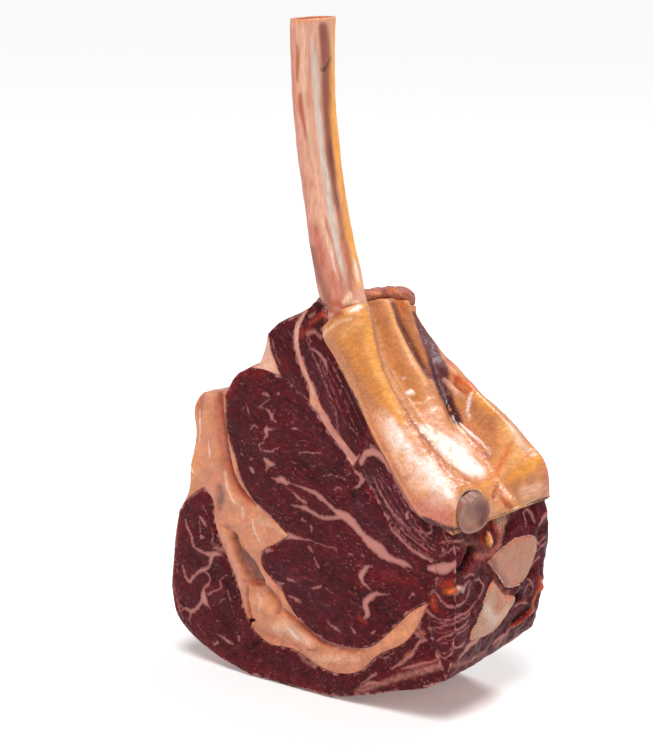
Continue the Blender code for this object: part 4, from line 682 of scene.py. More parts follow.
CHINE_MARKS = [
    ("meat_purple", 0.5, 12, 0, [(-34, 45, 5), (-18, 32, 5), (0, 33, 4)]),
    ("meat_dark", 0.55, 6, -0.4, [(-38, 55, 1), (-30, 56, 1.2), (-22, 61, 1.6), (-18, 70, 1.6)]),
    ("grey_brown", 0.7, 5, 0, [(-31, 86, 1.6), (-24, 84.5, 2), (-18, 83, 1.6), (-19, 78, 1.2)]),
    # painted shadow in a deep pit
    ("deep_shadow", 1.0, 3, -5.0, [(-33.5, 73.5, 1.4), (-29, 77, 2.6), (-24.5, 81, 2.4)]),
    ("meat_bright", 0.6, 4, -0.6, [(-26, 73, 1.6), (-20, 74, 2), (-15, 74.5, 1)]),
    ("orange", 0.75, 3, 0.3, [(-38, 65, 1.6), (-34, 65.6, 1.2)]),
    # painted highlight on the fat beside the orange fold
    ("pearl_highlight", 0.6, 2.4, 0.4, [(-34, 66, 0.8), (-31, 64.6, 1)]),
    ("rose", 0.7, 5, 0, [(-20, 78, 1), (-14, 77, 1.6), (-8, 77.5, 1.2), (-3, 81, 1.2),
        (-2, 87, 1.6)]),
    ("rust", 0.9, 3, -0.9, [(-16, 88, 0.8), (-15.2, 83, 1), (-13, 79.6, 1)]),
    ("apricot", 1.0, 1.6, 1.0, [(-11.3, 86.4, 0.9), (-11.2, 83.5, 1.7), (-11, 81, 1.0)]),
    ("rust", 0.8, 2.4, -0.6, [(-10.6, 98, 0.8), (-9.4, 93, 1), (-8.6, 89.5, 0.6)]),
    ("clot", 0.6, 4, 0.2, [(-7, 104, 2), (-3, 103.5, 2.4), (2, 103, 1.6)]),
    ("meat_dark", 0.7, 1.8, -0.7, [(-6.6, 99.6, 0.7), (-3, 100.6, 0.9), (0, 101.6, 0.6)]),
    ("meat_dark", 0.7, 1.8, -0.7, [(-9, 92, 0.6), (-6.6, 92.6, 0.8), (-4.6, 90.6, 0.7)]),
    ("bone_red", 0.6, 3, 0.2, [(-6, 97, 1), (-5, 94, 1), (-4.6, 87, 1)]),
    ("wedge", 0.85, 5, 0.2, [(-2, 92, 2), (1, 88, 2), (4, 93, 2.4), (9, 96.5, 3.2),
        (12, 94, 1.6)]),
    ("bone_red", 0.5, 2.4, -0.1, [(3.6, 95.5, 0.8), (3.4, 91.5, 0.9)]),
    ("meat_dark", 0.8, 3, -1.2, [(0, 80, 1.4), (3, 83.5, 1.8), (7.5, 86.5, 1.8),
        (12, 87.8, 0.9)]),
    ("meat_dark", 0.6, 4, -0.6, [(14, 92, 1.4), (20, 95.6, 1.8), (28, 94.5, 1.6)]),
    ("meat_dark", 0.8, 2.4, -1.0, [(20.5, 87.5, 1.2), (21.8, 84.5, 1.2)]),
    ("meat_dark", 0.8, 2.4, -1.0, [(28, 78.6, 1.2), (27.4, 76, 1)]),
    ("meat_dark", 0.7, 3, -0.8, [(32, 81, 1.6), (36, 83, 1.4)]),
    ("meat_purple", 0.6, 6, 0, [(30, 88, 3), (34, 78, 3), (31, 68, 2.6)]),
    ("meat_bright", 0.6, 3, -0.4, [(16, 60, 0.8), (21, 62, 1.4), (25, 65, 0.8)]),
    ("meat_dark", 0.7, 2.6, -0.8, [(15, 57, 0.8), (20, 58.6, 1.2), (25, 60, 1)]),
    # painted shade in a crease of the chine face
    ("crease_shade", 0.9, 1.8, -1.4, [(-12.6, 68, 0.6), (-9, 66.6, 1.1), (-5.6, 63.5, 0.9),
        (-2.6, 60.6, 0.6)]),
    ("rose", 0.7, 4, -0.4, [(-4.6, 60.6, 1.2), (-2, 56.4, 1.8), (2, 53.4, 1.6), (6, 53, 1.2)]),
    ("rust", 0.8, 1.6, -0.8, [(-7.2, 60, 0.5), (-6.8, 56, 0.7), (-5.2, 52.4, 0.5)]),
    ("rust", 0.8, 1.8, -0.8, [(0.6, 56, 0.7), (2.6, 53.4, 0.9)]),
    # the next two marks are painted shadow in pits
    ("deep_shadow", 1.0, 2, -3.4, [(11.8, 49.8, 1.2), (14.4, 49.6, 2.0), (16.4, 50.6, 1.0)]),
    ("deep_shadow", 1.0, 1.4, -2.4, [(5.8, 46.6, 1.0), (6.4, 46.2, 0.8)]),
    ("meat_dark", 0.8, 4, -0.9, [(18, 52, 1.6), (24, 51, 2), (20, 56, 1.4)]),
    ("clot", 0.95, 3, 1.2, [(30, 55, 1.4), (32, 52, 2), (34, 49.5, 2)]),
    ("clot", 0.95, 2.6, 1.4, [(11, 36, 0.8), (18, 36.5, 1), (24, 38.6, 1.4), (29, 39.6, 1.6)]),
    ("orange", 0.7, 2.4, 0.2, [(33, 51.4, 0.8), (27, 39.4, 0.9)]),
    # painted shadow in a slit
    ("deep_shadow", 0.85, 3.4, -1.8, [(12, 37.6, 0.8), (17, 39.4, 1.3), (23, 41.6, 1.1)]),
    ("meat_dark", 0.7, 4, -0.6, [(4, 41, 1.6), (9, 40.6, 1.8), (5, 37, 1.4)]),
    ("blush", 0.4, 3, 0, [(-38, 29.5, 0.8), (-24, 27.5, 1), (-8, 28, 1)]),
    ("blush", 0.5, 3, 0.1, [(0, 29, 1), (5, 32, 1.4), (10, 34, 0.8)]),
]
# rib bone: (across as it looks from the front right, z, half width)
BONE_MARKS = [
    ("bone_pink", 0.75, 4, 0, [(-9.6, 312, 1.6), (-9.6, 260, 2), (-9.6, 200, 2.4)]),
    ("cream", 0.6, 2.4, 0.1, [(-4, 313, 1.2), (-4.2, 290, 0.8), (-3.2, 262, 0.9),
        (-2.6, 246, 0.3)]),
    ("shell", 0.7, 3, 0, [(-2.6, 250, 0.8), (-2.8, 230, 1.4), (-3, 205, 1.2)]),
    ("bone_grey", 1, 1.6, -0.5, [(-0.7, 309, 0.5), (0.6, 298, 1.3), (1.5, 282, 1.3),
        (2, 255, 1.5), (2.1, 228, 1.8), (2.9, 205, 1.5), (3.3, 192, 1.0)]),
    # painted shade at the edge of the bone's groove
    ("crease_shade", 0.35, 1.4, -0.2, [(3.2, 300, 0.3), (3.8, 282, 0.5), (4, 255, 0.5),
        (4.4, 232, 0.4)]),
    ("bone_brown", 0.95, 1.8, -0.3, [(5.2, 313, 2.0), (6.3, 300, 2.4), (6.4, 284, 2.0),
        (5.9, 262, 1.8), (5.7, 246, 1.4), (5.8, 232, 1), (6, 216, 0.5)]),
    ("tan", 0.8, 2.4, 0, [(6.2, 228, 0.8), (6.6, 212, 1.4), (6.8, 198, 1.4)]),
    ("bone_gold", 1, 1.5, 0.2, [(10.6, 316, 1), (10.3, 300, 1.4), (9.5, 276, 1.7),
        (8.9, 250, 1.6), (8.9, 225, 1.4), (9.5, 205, 1.4)]),
    ("bone_red", 0.85, 1.6, 0, [(-7.2, 305, 0.5), (-7, 297, 0.8), (-7.2, 289, 0.3)]),
    ("bone_red", 0.9, 1.8, -0.1, [(-6.4, 283, 0.6), (-6.2, 276, 1.1), (-5.4, 268, 0.8),
        (-4.8, 262, 0.3)]),
    ("orange", 0.35, 3, 0, [(-8.6, 300, 0.4), (-8.4, 280, 0.6)]),
    # painted shadow in a notch of the bone
    ("deep_shadow", 0.75, 1.2, -0.4, [(3.6, 294.5, 0.3), (5.4, 293.4, 0.7), (7.4, 295, 0.6),
        (8.6, 298.4, 0.3)]),
    ("bone_red", 0.6, 2, 0, [(6.6, 303, 0.6), (6.2, 297, 0.6)]),
    ("bone_red", 0.6, 2.4, 0, [(-6.4, 222, 0.8), (-6, 212, 1.4), (-5.4, 204, 0.8)]),
    # faint painted shade along the brown band
    ("deep_shadow", 0.4, 1.6, 0, [(6.6, 262, 0.4), (6.4, 254, 0.7), (6.2, 246, 0.4)]),
    ("cream", 0.8, 1.2, 0.2, [(-2.4, 226, 0.4), (-1.6, 212, 0.7), (-0.4, 196, 0.6)]),
    ("bone_brown", 0.5, 1.2, -0.2, [(-0.6, 226, 0.3), (0.4, 212, 0.4), (1.2, 198, 0.3)]),
    ("rose", 0.6, 6, 0, [(-7, 222, 2), (-5, 205, 5), (-1, 192, 7)]),
    ("purple", 0.55, 4, 0, [(-9.5, 212, 1.4), (-8.6, 198, 2), (-6.6, 186, 2)]),
    ("bone_red", 0.5, 3, 0, [(5.6, 216, 1), (5.8, 204, 1.4), (5, 194, 1.6)]),
    # painted highlight down the middle of the bone
    ("pearl_highlight", 0.7, 1, 0.1, [(-0.5, 214, 0.2), (-1, 205, 0.4), (-0.4, 198, 0.2)]),
    ("copper", 0.7, 3, 0.3, [(-5, 188, 1.4), (-1, 187, 2), (4, 186, 2)]),
    ("honey", 0.9, 2, 0.6, [(9, 212, 0.4), (8.6, 202, 1), (8.6, 194, 1.4)]),
    # painted highlight along the bone's gold edge
    ("pearl_highlight", 0.8, 1, 0.4, [(8.6, 206, 0.3), (8.4, 201, 0.6), (8.2, 196, 0.3)]),
    ("cream", 0.9, 1.4, 0.7, [(3.6, 190, 1.2), (0.4, 187.4, 0.9), (6, 187, 1)]),
    ("clot", 0.6, 2, 0.3, [(-7.6, 185, 1), (-4, 183.6, 1.2), (0, 183, 1)]),
    ("apricot", 0.8, 2.4, 0, [(-8, 316.4, 0.9), (0, 316.8, 0.8), (8, 316.4, 0.9)]),
]
# the sawn end of the rib bone, the bone plate and the bone wedge: (y, z, half width)
DISC_MARKS = [
    ("purple", 0.75, 5, -0.2, [(-20, 101, 2), (-16.5, 97, 2.6), (-18, 92, 1)]),
    ("wedge", 0.4, 5, 0, [(-33, 103, 2), (-28, 96, 2), (-22, 92, 1.4)]),
    ("rose", 0.3, 2.4, 0, [(-36, 106, 0.6), (-28, 108, 0.6), (-20, 106.5, 0.6), (-13, 102, 0.4)]),
]
PLATE_MARKS = [
    ("grey_brown", 0.6, 4, 0, [(-10, 73, 1.4), (-4, 66, 1.6), (3, 59, 1.4)]),
    ("copper", 0.5, 2, -0.2, [(-2, 77, 0.6), (10, 80, 0.7), (24, 78, 0.6)]),
    ("rose", 0.4, 6, 0, [(0, 70, 2), (10, 60, 2)]),
    ("tan", 0.4, 6, 0, [(14, 75, 3), (20, 70, 3)]),
    ("purple", 0.4, 4, 0, [(-9, 73, 1.4), (-6, 68, 1.4)]),
    ("bone_red", 0.5, 2, 0, [(3, 79, 0.8), (12, 81, 0.8), (20, 79.6, 0.8)]),
]
WEDGE_MARKS = [
    ("apricot", 0.6, 4, 0.2, [(-10, 63, 1.6), (-9, 60, 1.4)]),
    ("bone_grey", 0.5, 6, 0, [(-14, 52, 3), (-8, 45, 3)]),
    ("bone_red", 0.6, 3, -0.4, [(-5, 57, 1), (-4, 52, 1.2), (-6, 48, 0.8)]),
    ("rose", 0.7, 4, 0, [(0, 52, 1.6), (6, 51.6, 1.6)]),
    ("shell", 0.5, 5, 0, [(-3, 44, 2), (3, 46, 2)]),
]

# ---- camera, light and floor ---------------------------------------------------------
CAMERA_PLACE = (0.7057, -0.8937, 0.3986)
CAMERA_AIM = (-0.018, 0, 0.1466)
CAMERA_LENS = 116.8               # on a frame 36 mm high
TO_CAMERA = np.array([0.615, -0.76, 0.21])
SIDEWAYS = np.array([0.777, 0.629])           # to the right in the camera's picture
LAMPS = [                         # softboxes: place, width, power
    ("overhead", (0.26, 0.92, 1.45), 0.55, 15),
    ("side", (1.5, -0.4, 0.7), 0.8, 2),
    ("front", (-0.75, -0.95, 0.6), 0.35, 2.5),
]
LAMP_AIM = (0, 0, 0.12)
SUN_FROM = (0.27, -0.4, 0.86)
SUN_POWER = 2.2
SUN_SOFTNESS = 26                 # degrees
DAYLIGHT = 0.3
WHITE = (1, 1, 1, 1)
FLOOR_REACH = 6                   # metres
FLOOR_COLOUR = (0.9, 0.9, 0.9, 1)
FLOOR_GLOW = 0.16


# ======================================================================================
# curves and fields
# ======================================================================================
def smooth_curve(points, step):
    """Even points along a smooth curve through the given ones."""
    pts = np.array(points, float)
    if len(pts) > 2:
        padded = np.vstack([2 * pts[0] - pts[1], pts, 2 * pts[-1] - pts[-2]])
        fine = []
        for a, b, c, d in zip(padded, padded[1:], padded[2:], padded[3:]):
            for t in np.arange(0, 1, 0.05):
                bend = 2 * a - 5 * b + 4 * c - d
                twist = 3 * b - a - 3 * c + d
                fine.append(0.5 * (2 * b + (c - a) * t + bend * t ** 2 + twist * t ** 3))
        pts = np.array(fine + [pts[-1]])
    run = np.concatenate([[0], np.cumsum(np.linalg.norm(np.diff(pts, axis=0), axis=1))])
    even = np.linspace(0, run[-1], max(1, round(run[-1] / step)) + 1)
    return np.column_stack([np.interp(even, run, column) for column in pts.T])


def seam(name, step=CELL):
    """A seam by its name, walked backwards after a minus sign."""
    points = smooth_curve(SEAMS[name.lstrip("-")], step)
    return points[::-1] if name.startswith("-") else points


def smoothstep(t):
    """0 to 1 with soft ends."""
    t = np.clip(t, 0, 1)
    return t * t * (3 - 2 * t)


def table(values, where):
    """Straight-line reading of a list of (place, value)."""
    places, heights = zip(*sorted(values))
    return np.interp(where, places, heights)


def ripple(points, size, seed):
    """Smooth random waves of about the given size, from -1 to 1."""
    dice = np.random.default_rng(seed)
    ways = dice.normal(size=(WAVES, points.shape[1]))
    lengths = 2 * math.pi / size * dice.uniform(0.6, 1.5, WAVES) / np.linalg.norm(ways, axis=1)
    ways *= lengths[:, None]
    waves = np.sin(points @ ways.T + dice.uniform(0, 2 * math.pi, WAVES))
    return np.clip(waves.mean(axis=1) * 2, -1, 1)


def wobble(points, reach, size, seed):
    """Random shifts two ways, in waves of about the given size."""
    waves = [ripple(points, size, seed), ripple(points, size, seed + 1)]
    return reach * np.column_stack(waves)


def on_rib(x, z):
    """Place along the rib side and height over it."""
    flat = np.stack([x - RIB_TOP[0], z - RIB_TOP[1]])
    return RIB_ALONG @ flat, RIB_OUT @ flat


def off_rib(along, height):
    """The (x, z) of a place along the rib side and a height over it."""
    return RIB_TOP + np.multiply.outer(along, RIB_ALONG) + np.multiply.outer(height, RIB_OUT)


def plain_rib(start, step):
    """The plain outer line of the rib side, from a place along it to the chine corner."""
    corner = [off_rib(along, height) for along, height in RIB_CORNER]
    return smooth_curve([off_rib(start, RIB_PLAIN), *corner], step)


def rib_loop():
    """Outline of the fat and skin on the rib side, before its ridges are raised."""
    inner = np.vstack([seam(name, RIB_STEP)[:-1] for name in RIB_INNER] + [seam("rib_chine")[-1:]])
    start = on_rib(*inner[0])[0]
    outer = plain_rib(start, SIDE_CELL)[:-1]
    return np.vstack([inner, outer[::-1]])


def lesser(a, b, reach):
    """The lesser of two heights, with a soft change from one to the other."""
    share = np.clip(0.5 + (b - a) / (2 * reach), 0, 1)
    return b + (a - b) * share - reach * share * (1 - share)


def rib_height(along, y):
    """Height of the rib side over its sloping plane."""
    front = table(FRONT_EDGE, along)
    back = table(BACK_EDGE, along)
    level = VALLEY + (back - VALLEY) * smoothstep((y - FACE) / BACK_RAMP + 1)
    for crest, rise, width, square in RIDGES.values():
        across = np.abs(y - table(crest, along)) / table(width, along)
        level = level + table(rise, along) * np.exp(-across ** square)
    level = front + (level - front) * smoothstep((y + FACE) / table(FRONT_RAMP, along))
    return lesser(level, CHINE_LINE - along, CORNER_ROUND)


def outer_edge():
    """The outer edge of the whole cut face as one closed line of close points."""
    names = ["lip_out", "eye_out", "wedge_out", "outer_out", "line_out", "inner_out"]
    parts = [seam(name, FINE_STEP) for name in names]
    parts.append(plain_rib(0, FINE_STEP))
    names = ["chine_out", "cap_bottom", "cap_rest", "cap_left"]
    parts += [seam(name, FINE_STEP) for name in names]
    return np.vstack(parts)


def nearest(points, line):
    """Distance from each flat point to a line of close points, and the way from it."""
    tree = KDTree(len(line))
    for number, (a, b) in enumerate(line):
        tree.insert((a, b, 0), number)
    tree.balance()
    found = [tree.find((a, b, 0))[1] for a, b in points]
    away = points - line[found]
    return np.linalg.norm(away, axis=1), away


def stroke_depth(flat, stroke):
    """How deep each flat point lies inside a stroke of changing width (minus: outside)."""
    line = smooth_curve(stroke, 0.5)
    depth = np.full(len(flat), FAR_OUTSIDE)
    low = line[:, :2].min(axis=0) - STROKE_REACH
    high = line[:, :2].max(axis=0) + STROKE_REACH
    near = np.flatnonzero(((flat > low) & (flat < high)).all(axis=1))
    for part in np.array_split(near, len(near) // BATCH + 1):
        far = np.hypot(*(flat[part, None, axis] - line[None, :, axis] for axis in (0, 1)))
        depth[part] = (line[None, :, 2] - far).max(axis=1, initial=FAR_OUTSIDE)
    return depth


def vein_depth(flat, strokes):
    """How deep each point lies inside the nearest of the fat veins."""
    depth = np.full(len(flat), -FAT_LIMIT)
    for stroke in strokes:
        depth = np.maximum(depth, stroke_depth(flat, stroke))
    return np.clip(depth, -FAT_LIMIT, FAT_LIMIT)


def shade(name):
    """A shade of the list above as linear red, green and blue."""
    part = np.array(SHADES[name]) / 255
    return np.where(part > 0.04045, ((part + 0.055) / 1.055) ** 2.4, part / 12.92)


def cover(under, over, share):
    """Lay colours over others, as strongly as the share of each point."""
    under += (over - under) * np.reshape(share, (-1, 1))


def painted(flat, base, marks):
    """A base shade with marks laid over it, and how far the marks stand up."""
    colour = np.tile(shade(base), (len(flat), 1))
    rise = np.zeros(len(flat))
    for name, strength, soft, height, stroke in marks:
        inside = smoothstep(stroke_depth(flat, stroke) / soft + 0.5)
        cover(colour, shade(name), strength * inside)
        rise += height * inside
    return colour, rise


# ======================================================================================
# meshes
# ======================================================================================
def slice_up(bm, faces, way, places):
    """Cut faces by planes across a direction, one after the other, and return the parts."""
    done = []
    rest = list(faces)
    for place in places:
        parts = dict.fromkeys(part for face in rest for part in (*face.verts, *face.edges, face))
        cut = bmesh.ops.bisect_plane(bm, geom=list(parts), plane_co=way * place, plane_no=way)
        rest = []
        for face in (part for part in cut["geom"] if isinstance(part, bmesh.types.BMFace)):
            beyond = way.dot(face.calc_center_median()) > place
            (rest if beyond else done).append(face)
    return done + rest


def inset(loop, amount):
    """A closed loop moved inwards by an amount, with short mitres at its tips."""
    before = loop - np.roll(loop, 1, axis=0)
    after = np.roll(loop, -1, axis=0) - loop
    before /= np.linalg.norm(before, axis=1)[:, None]
    after /= np.linalg.norm(after, axis=1)[:, None]
    ahead = np.roll(loop, -1, axis=0)
    side = 1 if np.sum(loop[:, 0] * ahead[:, 1] - ahead[:, 0] * loop[:, 1]) > 0 else -1
    normal_a = side * np.column_stack([-before[:, 1], before[:, 0]])
    normal_b = side * np.column_stack([-after[:, 1], after[:, 0]])
    middle = normal_a + normal_b
    middle /= np.maximum(np.linalg.norm(middle, axis=1), 0.2)[:, None]
    stretch = np.maximum((middle * normal_a).sum(axis=1), 0.25)
    return loop + middle * (amount / stretch)[:, None]


def grid_places(loop, axis, cell):
    """Where the grid of a sheet is cut along one axis."""
    low, high = loop[:, axis].min(), loop[:, axis].max()
    return np.arange(low + cell / 2, high, cell)


def slab(loop, cell, cuts):
    """A closed slab: an outline in x and z, gridded, drawn from front to back and ringed."""
    bm = bmesh.new()
    bm.faces.new([bm.verts.new((x, -FACE, z)) for x, z in loop])
    strips = slice_up(bm, bm.faces, Vector((1, 0, 0)), grid_places(loop, 0, cell))
    slice_up(bm, strips, Vector((0, 0, 1)), grid_places(loop, 1, cell))
    bmesh.ops.remove_doubles(bm, verts=bm.verts[:], dist=0.12)
    rim = [edge.verts[:] for edge in bm.edges if edge.is_boundary]
    sheet = [face.verts[:] for face in bm.faces]
    behind = {corner: bm.verts.new((corner.co.x, FACE, corner.co.z)) for corner in bm.verts[:]}
    for corners in sheet:
        bm.faces.new([behind[corner] for corner in corners])
    walls = [bm.faces.new((a, b, behind[b], behind[a])) for a, b in rim]
    slice_up(bm, walls, Vector((0, 1, 0)), cuts)
    bmesh.ops.recalc_face_normals(bm, faces=bm.faces[:])
    return bm


def even_cuts(step):
    """Rings close behind both cut faces and evenly between them."""
    ends = [-FACE + depth for depth in RIM_CUTS]
    middle = np.linspace(ends[-1], -ends[-1], round(-2 * ends[-1] / step) + 1)
    return [*ends[:-1], *middle, *[-y for y in ends[-2::-1]]]


class Blank:
    """A mesh on its way to a piece: its points in millimetres and its painted fields."""

    def __init__(self, name, bm):
        self.mesh = bpy.data.meshes.new(name)
        bm.to_mesh(self.mesh)
        bm.free()
        count = len(self.mesh.vertices)
        flat = np.empty(count * 3, np.float32)
        self.mesh.vertices.foreach_get("co", flat)
        self.points = flat.reshape(-1, 3).astype(float)
        self.colour = np.zeros((count, 3))
        self.fat = np.full(count, -FAT_LIMIT)
        self.film = np.zeros(count)

    def finish(self, material):
        """The finished piece, in metres, wearing its fields as attributes."""
        mesh = self.mesh
        mesh.vertices.foreach_set("co", (self.points * METRES).astype(np.float32).ravel())
        tint = mesh.attributes.new("tint", "FLOAT_COLOR", "POINT")
        colour = np.column_stack([self.colour, np.ones(len(self.colour))])
        tint.data.foreach_set("color", colour.astype(np.float32).ravel())
        for name, values in (("fat", self.fat), ("film", self.film)):
            field = mesh.attributes.new(name, "FLOAT", "POINT")
            field.data.foreach_set("value", values.astype(np.float32))
        mesh.update()
        mesh.shade_smooth()
        mesh.materials.append(material)
        piece = bpy.data.objects.new(mesh.name, mesh)
        bpy.context.scene.collection.objects.link(piece)
        return piece


def shape_along(points):
    """Shift the sections between the faces and at the back, which differ from the front's."""
    along_y = (points[:, 1] + FACE) / (2 * FACE)
    flat = points[:, [0, 2]]
    places = np.array([place for place, _ in BACK_SHIFT], float)
    shifts = np.array([shift for _, shift in BACK_SHIFT], float)
    far2 = ((flat[:, None, :] - places[None]) ** 2).sum(axis=2)
    weight = np.exp(-far2 / (2 * SHIFT_REACH ** 2))
    shift = (weight @ shifts) / (weight.sum(axis=1)[:, None] + SHIFT_EASE)
    points[:, [0, 2]] = flat + shift * along_y[:, None]
    near2 = ((flat - np.array(CLIMB_PLACE)) ** 2).sum(axis=1)
    points[:, 2] += table(CLIMB, points[:, 1]) * np.exp(-near2 / (2 * CLIMB_REACH ** 2))


def undulate(points):
    """Soft hand-cut waviness of the whole, still where the steak rests."""
    x, y, z = points.T / 1000
    still = smoothstep((z - WAVE_FREE) / WAVE_EASE)
    points[:, 0] += WAVE * np.sin(55 * z + 40 * y) * still
    points[:, 2] += WAVE * np.sin(60 * x + 35 * y + 1.0) * still


def round_rims(points, far, away):
    """Pull the rims of both cut faces in towards the meat."""
    depth = FACE - np.abs(points[:, 1])
    under_rib = -on_rib(points[:, 0], points[:, 2])[1]
    bulge = SWELL * smoothstep((under_rib - SWELL_START) / SWELL_EASE)
    pull = RIM * (1 - smoothstep(depth / RIM_DEPTH)) - bulge
    to_middle = np.array(STEAK_MIDDLE) - points[:, [0, 2]]
    to_middle /= np.linalg.norm(to_middle, axis=1)[:, None]
    inward = np.where(far[:, None] > EDGE_NEAR, away / np.maximum(far, 1e-9)[:, None], to_middle)
    points[:, [0, 2]] += inward * (pull * np.exp(-far / RIM_DEPTH))[:, None]
    return inward


def press_faces(points, dent_front, dent_back):
    """Push the front face back and the back face forward by their dents."""
    depth_front = points[:, 1] + FACE
    depth_back = FACE - points[:, 1]
    points[:, 1] += dent_front * np.clip(1 - depth_front / DENT_REACH, 0, 1)
    points[:, 1] -= dent_back * np.clip(1 - depth_back / DENT_REACH, 0, 1)


def keep_in(points):
    """Set a piece down on the floor, inside the solids' box."""
    low, high = (np.array(corner) / METRES for corner in cad_box)
    points[:, 2] = np.where(points[:, 2] < REST + RESTING_BAND, REST, points[:, 2]) - REST
    np.clip(points, low, high, out=points)


def flat_places(points):
    """Places in the cut face, drifting with depth so that the veins don't run straight."""
    drift = DRIFT * smoothstep((points[:, 1] + FACE - DRIFT_START) / DRIFT_EASE)
    flat = points[:, [0, 2]] + wobble(points, drift[:, None], 34, 1)
    return flat + wobble(points, 0.35, 4.5, 3)


def slice_of_steak(name, edge, material):
    """One muscle or fat that runs through the steak."""
    loop = inset(np.vstack([seam(part)[:-1] for part in LOOPS[name]]), GAP / 2)
    at_chine = name == "chine_meat"
    blank = Blank(name, slab(loop, CELL, even_cuts(SIDE_CELL if at_chine else WALL_CUT)))
    points = blank.points
    raw = points.copy()
    flat = flat_places(raw)
    own_edge = np.vstack([loop, (loop + np.roll(loop, -1, axis=0)) / 2])
    own_far, _ = nearest(raw[:, [0, 2]], own_edge)
    far, away = nearest(raw[:, [0, 2]], edge)

    blank.colour, rise = painted(flat, BASES[name], MARKS[name])
    if BASES[name] == "meat":
        fringe = 0.1 + 0.7 * ripple(flat, 8, 27) + 0.6 * ripple(flat, 2.6, 28) - own_far
        blank.fat = np.maximum(vein_depth(flat, VEINS) - VEIN_THINNER, fringe)
        rise += VEIN_RISE * smoothstep(blank.fat + 0.5)
    else:
        rim = np.exp(-own_far / 0.7) * (0.45 + 0.35 * ripple(flat, 6, 29))
        cover(blank.colour, shade("rose"), rim)
    outside = np.exp(-far / 1.5) * smoothstep((FACE - np.abs(raw[:, 1])) / 3)
    torn = outside * smoothstep((raw[:, 0] + 1) / 3) * (name == "inner_strip")
    rise += torn * 1.6 * ripple(raw, 8, 32)
    blank.film = outside * (1 - torn)

    dip = SEAM_DIP * np.exp(-own_far / DIP_REACH) + FACE_DIP
    dip = dip + 0.3 * ripple(flat, 17, 5) + 0.12 * ripple(flat, 4, 6)
    press_faces(points, dip - rise, dip - BACK_RELIEF * rise)
    inward = round_rims(points, far, away)
    dent = (0.5 + 0.4 * ripple(raw, 14, 7) + 0.25 * ripple(raw, 5, 8)) * blank.film
    dent += torn * (0.6 + 1.3 * ripple(raw, 7, 33))
    points[:, [0, 2]] += inward * dent[:, None]
    shape_along(points)
    undulate(points)
    if torn.any():
        paint_torn(blank, raw, torn)
    if at_chine:
        paint_chine(blank, raw, far)
    keep_in(points)
    return blank.finish(material)


def paint_torn(blank, raw, torn):
    """Carry the marks of the rib side on over the torn top beside it."""
    seen = seen_on_rib(blank.points, raw)
    seen[:, 0] = np.maximum(seen[:, 0], -1)
    colour, _ = painted(seen, "ochre", RIB_MARKS)
    cover(colour, shade("rust"), 0.3)
    cover(colour, shade("clot"), smoothstep(1.8 * ripple(raw, 5, 31) - 0.7))
    cover(blank.colour, colour, torn)


def paint_chine(blank, raw, far):
    """Colour, veins and relief of the chine face on the points that lie in it."""
    points = blank.points
    facing = smoothstep((raw[:, 0] - CHINE_START) / 5) * np.exp(-far / 3)
    facing *= smoothstep((raw[:, 1] + FACE) / 0.8)
    flat = points[:, [1, 2]] + wobble(raw, 0.35, 4.5, 9)
    colour, rise = painted(flat, "meat", CHINE_MARKS)
    fat = vein_depth(flat, CHINE_VEINS)
    share = smoothstep(facing * 2)
    cover(blank.colour, colour, share)
    blank.fat += (fat - blank.fat) * share
    blank.film *= 1 - share
    rise += (CHINE_VEIN_RISE * smoothstep(fat + 0.5) + 0.5 * ripple(raw, 9, 11)
             + 0.3 * ripple(raw, 3.4, 12) - 0.5)
    points[:, 0] += rise * facing


def seen_on_rib(points, raw):
    """Places on the rib side as they line up for an eye at the front right."""
    along, height = on_rib(points[:, 0], points[:, 2])
    slide = (height - 5) / (RIB_OUT @ TO_CAMERA[[0, 2]])
    seen = np.column_stack([along - slide * (RIB_ALONG @ TO_CAMERA[[0, 2]]),
                            points[:, 1] - slide * TO_CAMERA[1]])
    return seen + wobble(raw, 0.5, 6, 13)


def rib_side(material):
    """The fat and skin of the rib side with its ridges, creases and flaps."""
    loop = inset(rib_loop(), GAP / 2)
    blank = Blank("rib_side_fat", slab(loop, SIDE_CELL, even_cuts(SIDE_CELL)))
    points = blank.points
    raw = points.copy()
    inner = np.vstack([seam(name) for name in RIB_INNER])
    seam_along, seam_height = on_rib(*inner.T)
    along, height = on_rib(raw[:, 0], raw[:, 2])
    floor = np.interp(along, seam_along, seam_height)
    share = np.clip((height - floor) / (RIB_PLAIN - floor), 0, 1)
    top = rib_height(along, raw[:, 1])
    target = floor + share * np.maximum(top - floor, LEAST_SKIN)
    level = np.where(height > floor, target, height)

    def settle(lift):
        """Set the points at their height plus a lift, as the whole steak is shaped."""
        lift = lift * share * smoothstep((raw[:, 1] + FACE) / 2)
        points[:, [0, 2]] = off_rib(along, level + lift)
        points[:, 1] = raw[:, 1]
        shape_along(points)
        undulate(points)

    settle(0)
    seen = seen_on_rib(points, raw)
    blank.colour, rise = painted(seen, "ochre", RIB_MARKS)
    settle(rise + 0.25 * ripple(raw, 13, 15) + 0.1 * ripple(raw * [1, 2.2, 1], 5, 16) - 0.25)
    by_chine = chine_skin(points[:, 1], points[:, 2]) + CHINE_PROUD
    behind = np.minimum(points[:, 0], by_chine)
    points[:, 0] = np.where(along > CORNER_START, behind, points[:, 0])
    blank.film = smoothstep((seen[:, 0] - WET_START) / WET_EASE)
    blank.film *= smoothstep((raw[:, 1] + FACE) / 1.5)
    keep_in(points)
    return blank.finish(material)


def bone_section(angle, half, thick, groove):
    """Across and lift of a place on the rib bone's section."""
    across = np.copysign(np.abs(np.cos(angle)) ** BONE_SQUARE, np.cos(angle))
    out = np.copysign(np.abs(np.sin(angle)) ** BONE_SQUARE, np.sin(angle))
    dip = groove * np.exp(-((across - GROOVE_PLACE) / GROOVE_WIDTH) ** 2) * (out > 0)
    return half * across, thick * out - dip


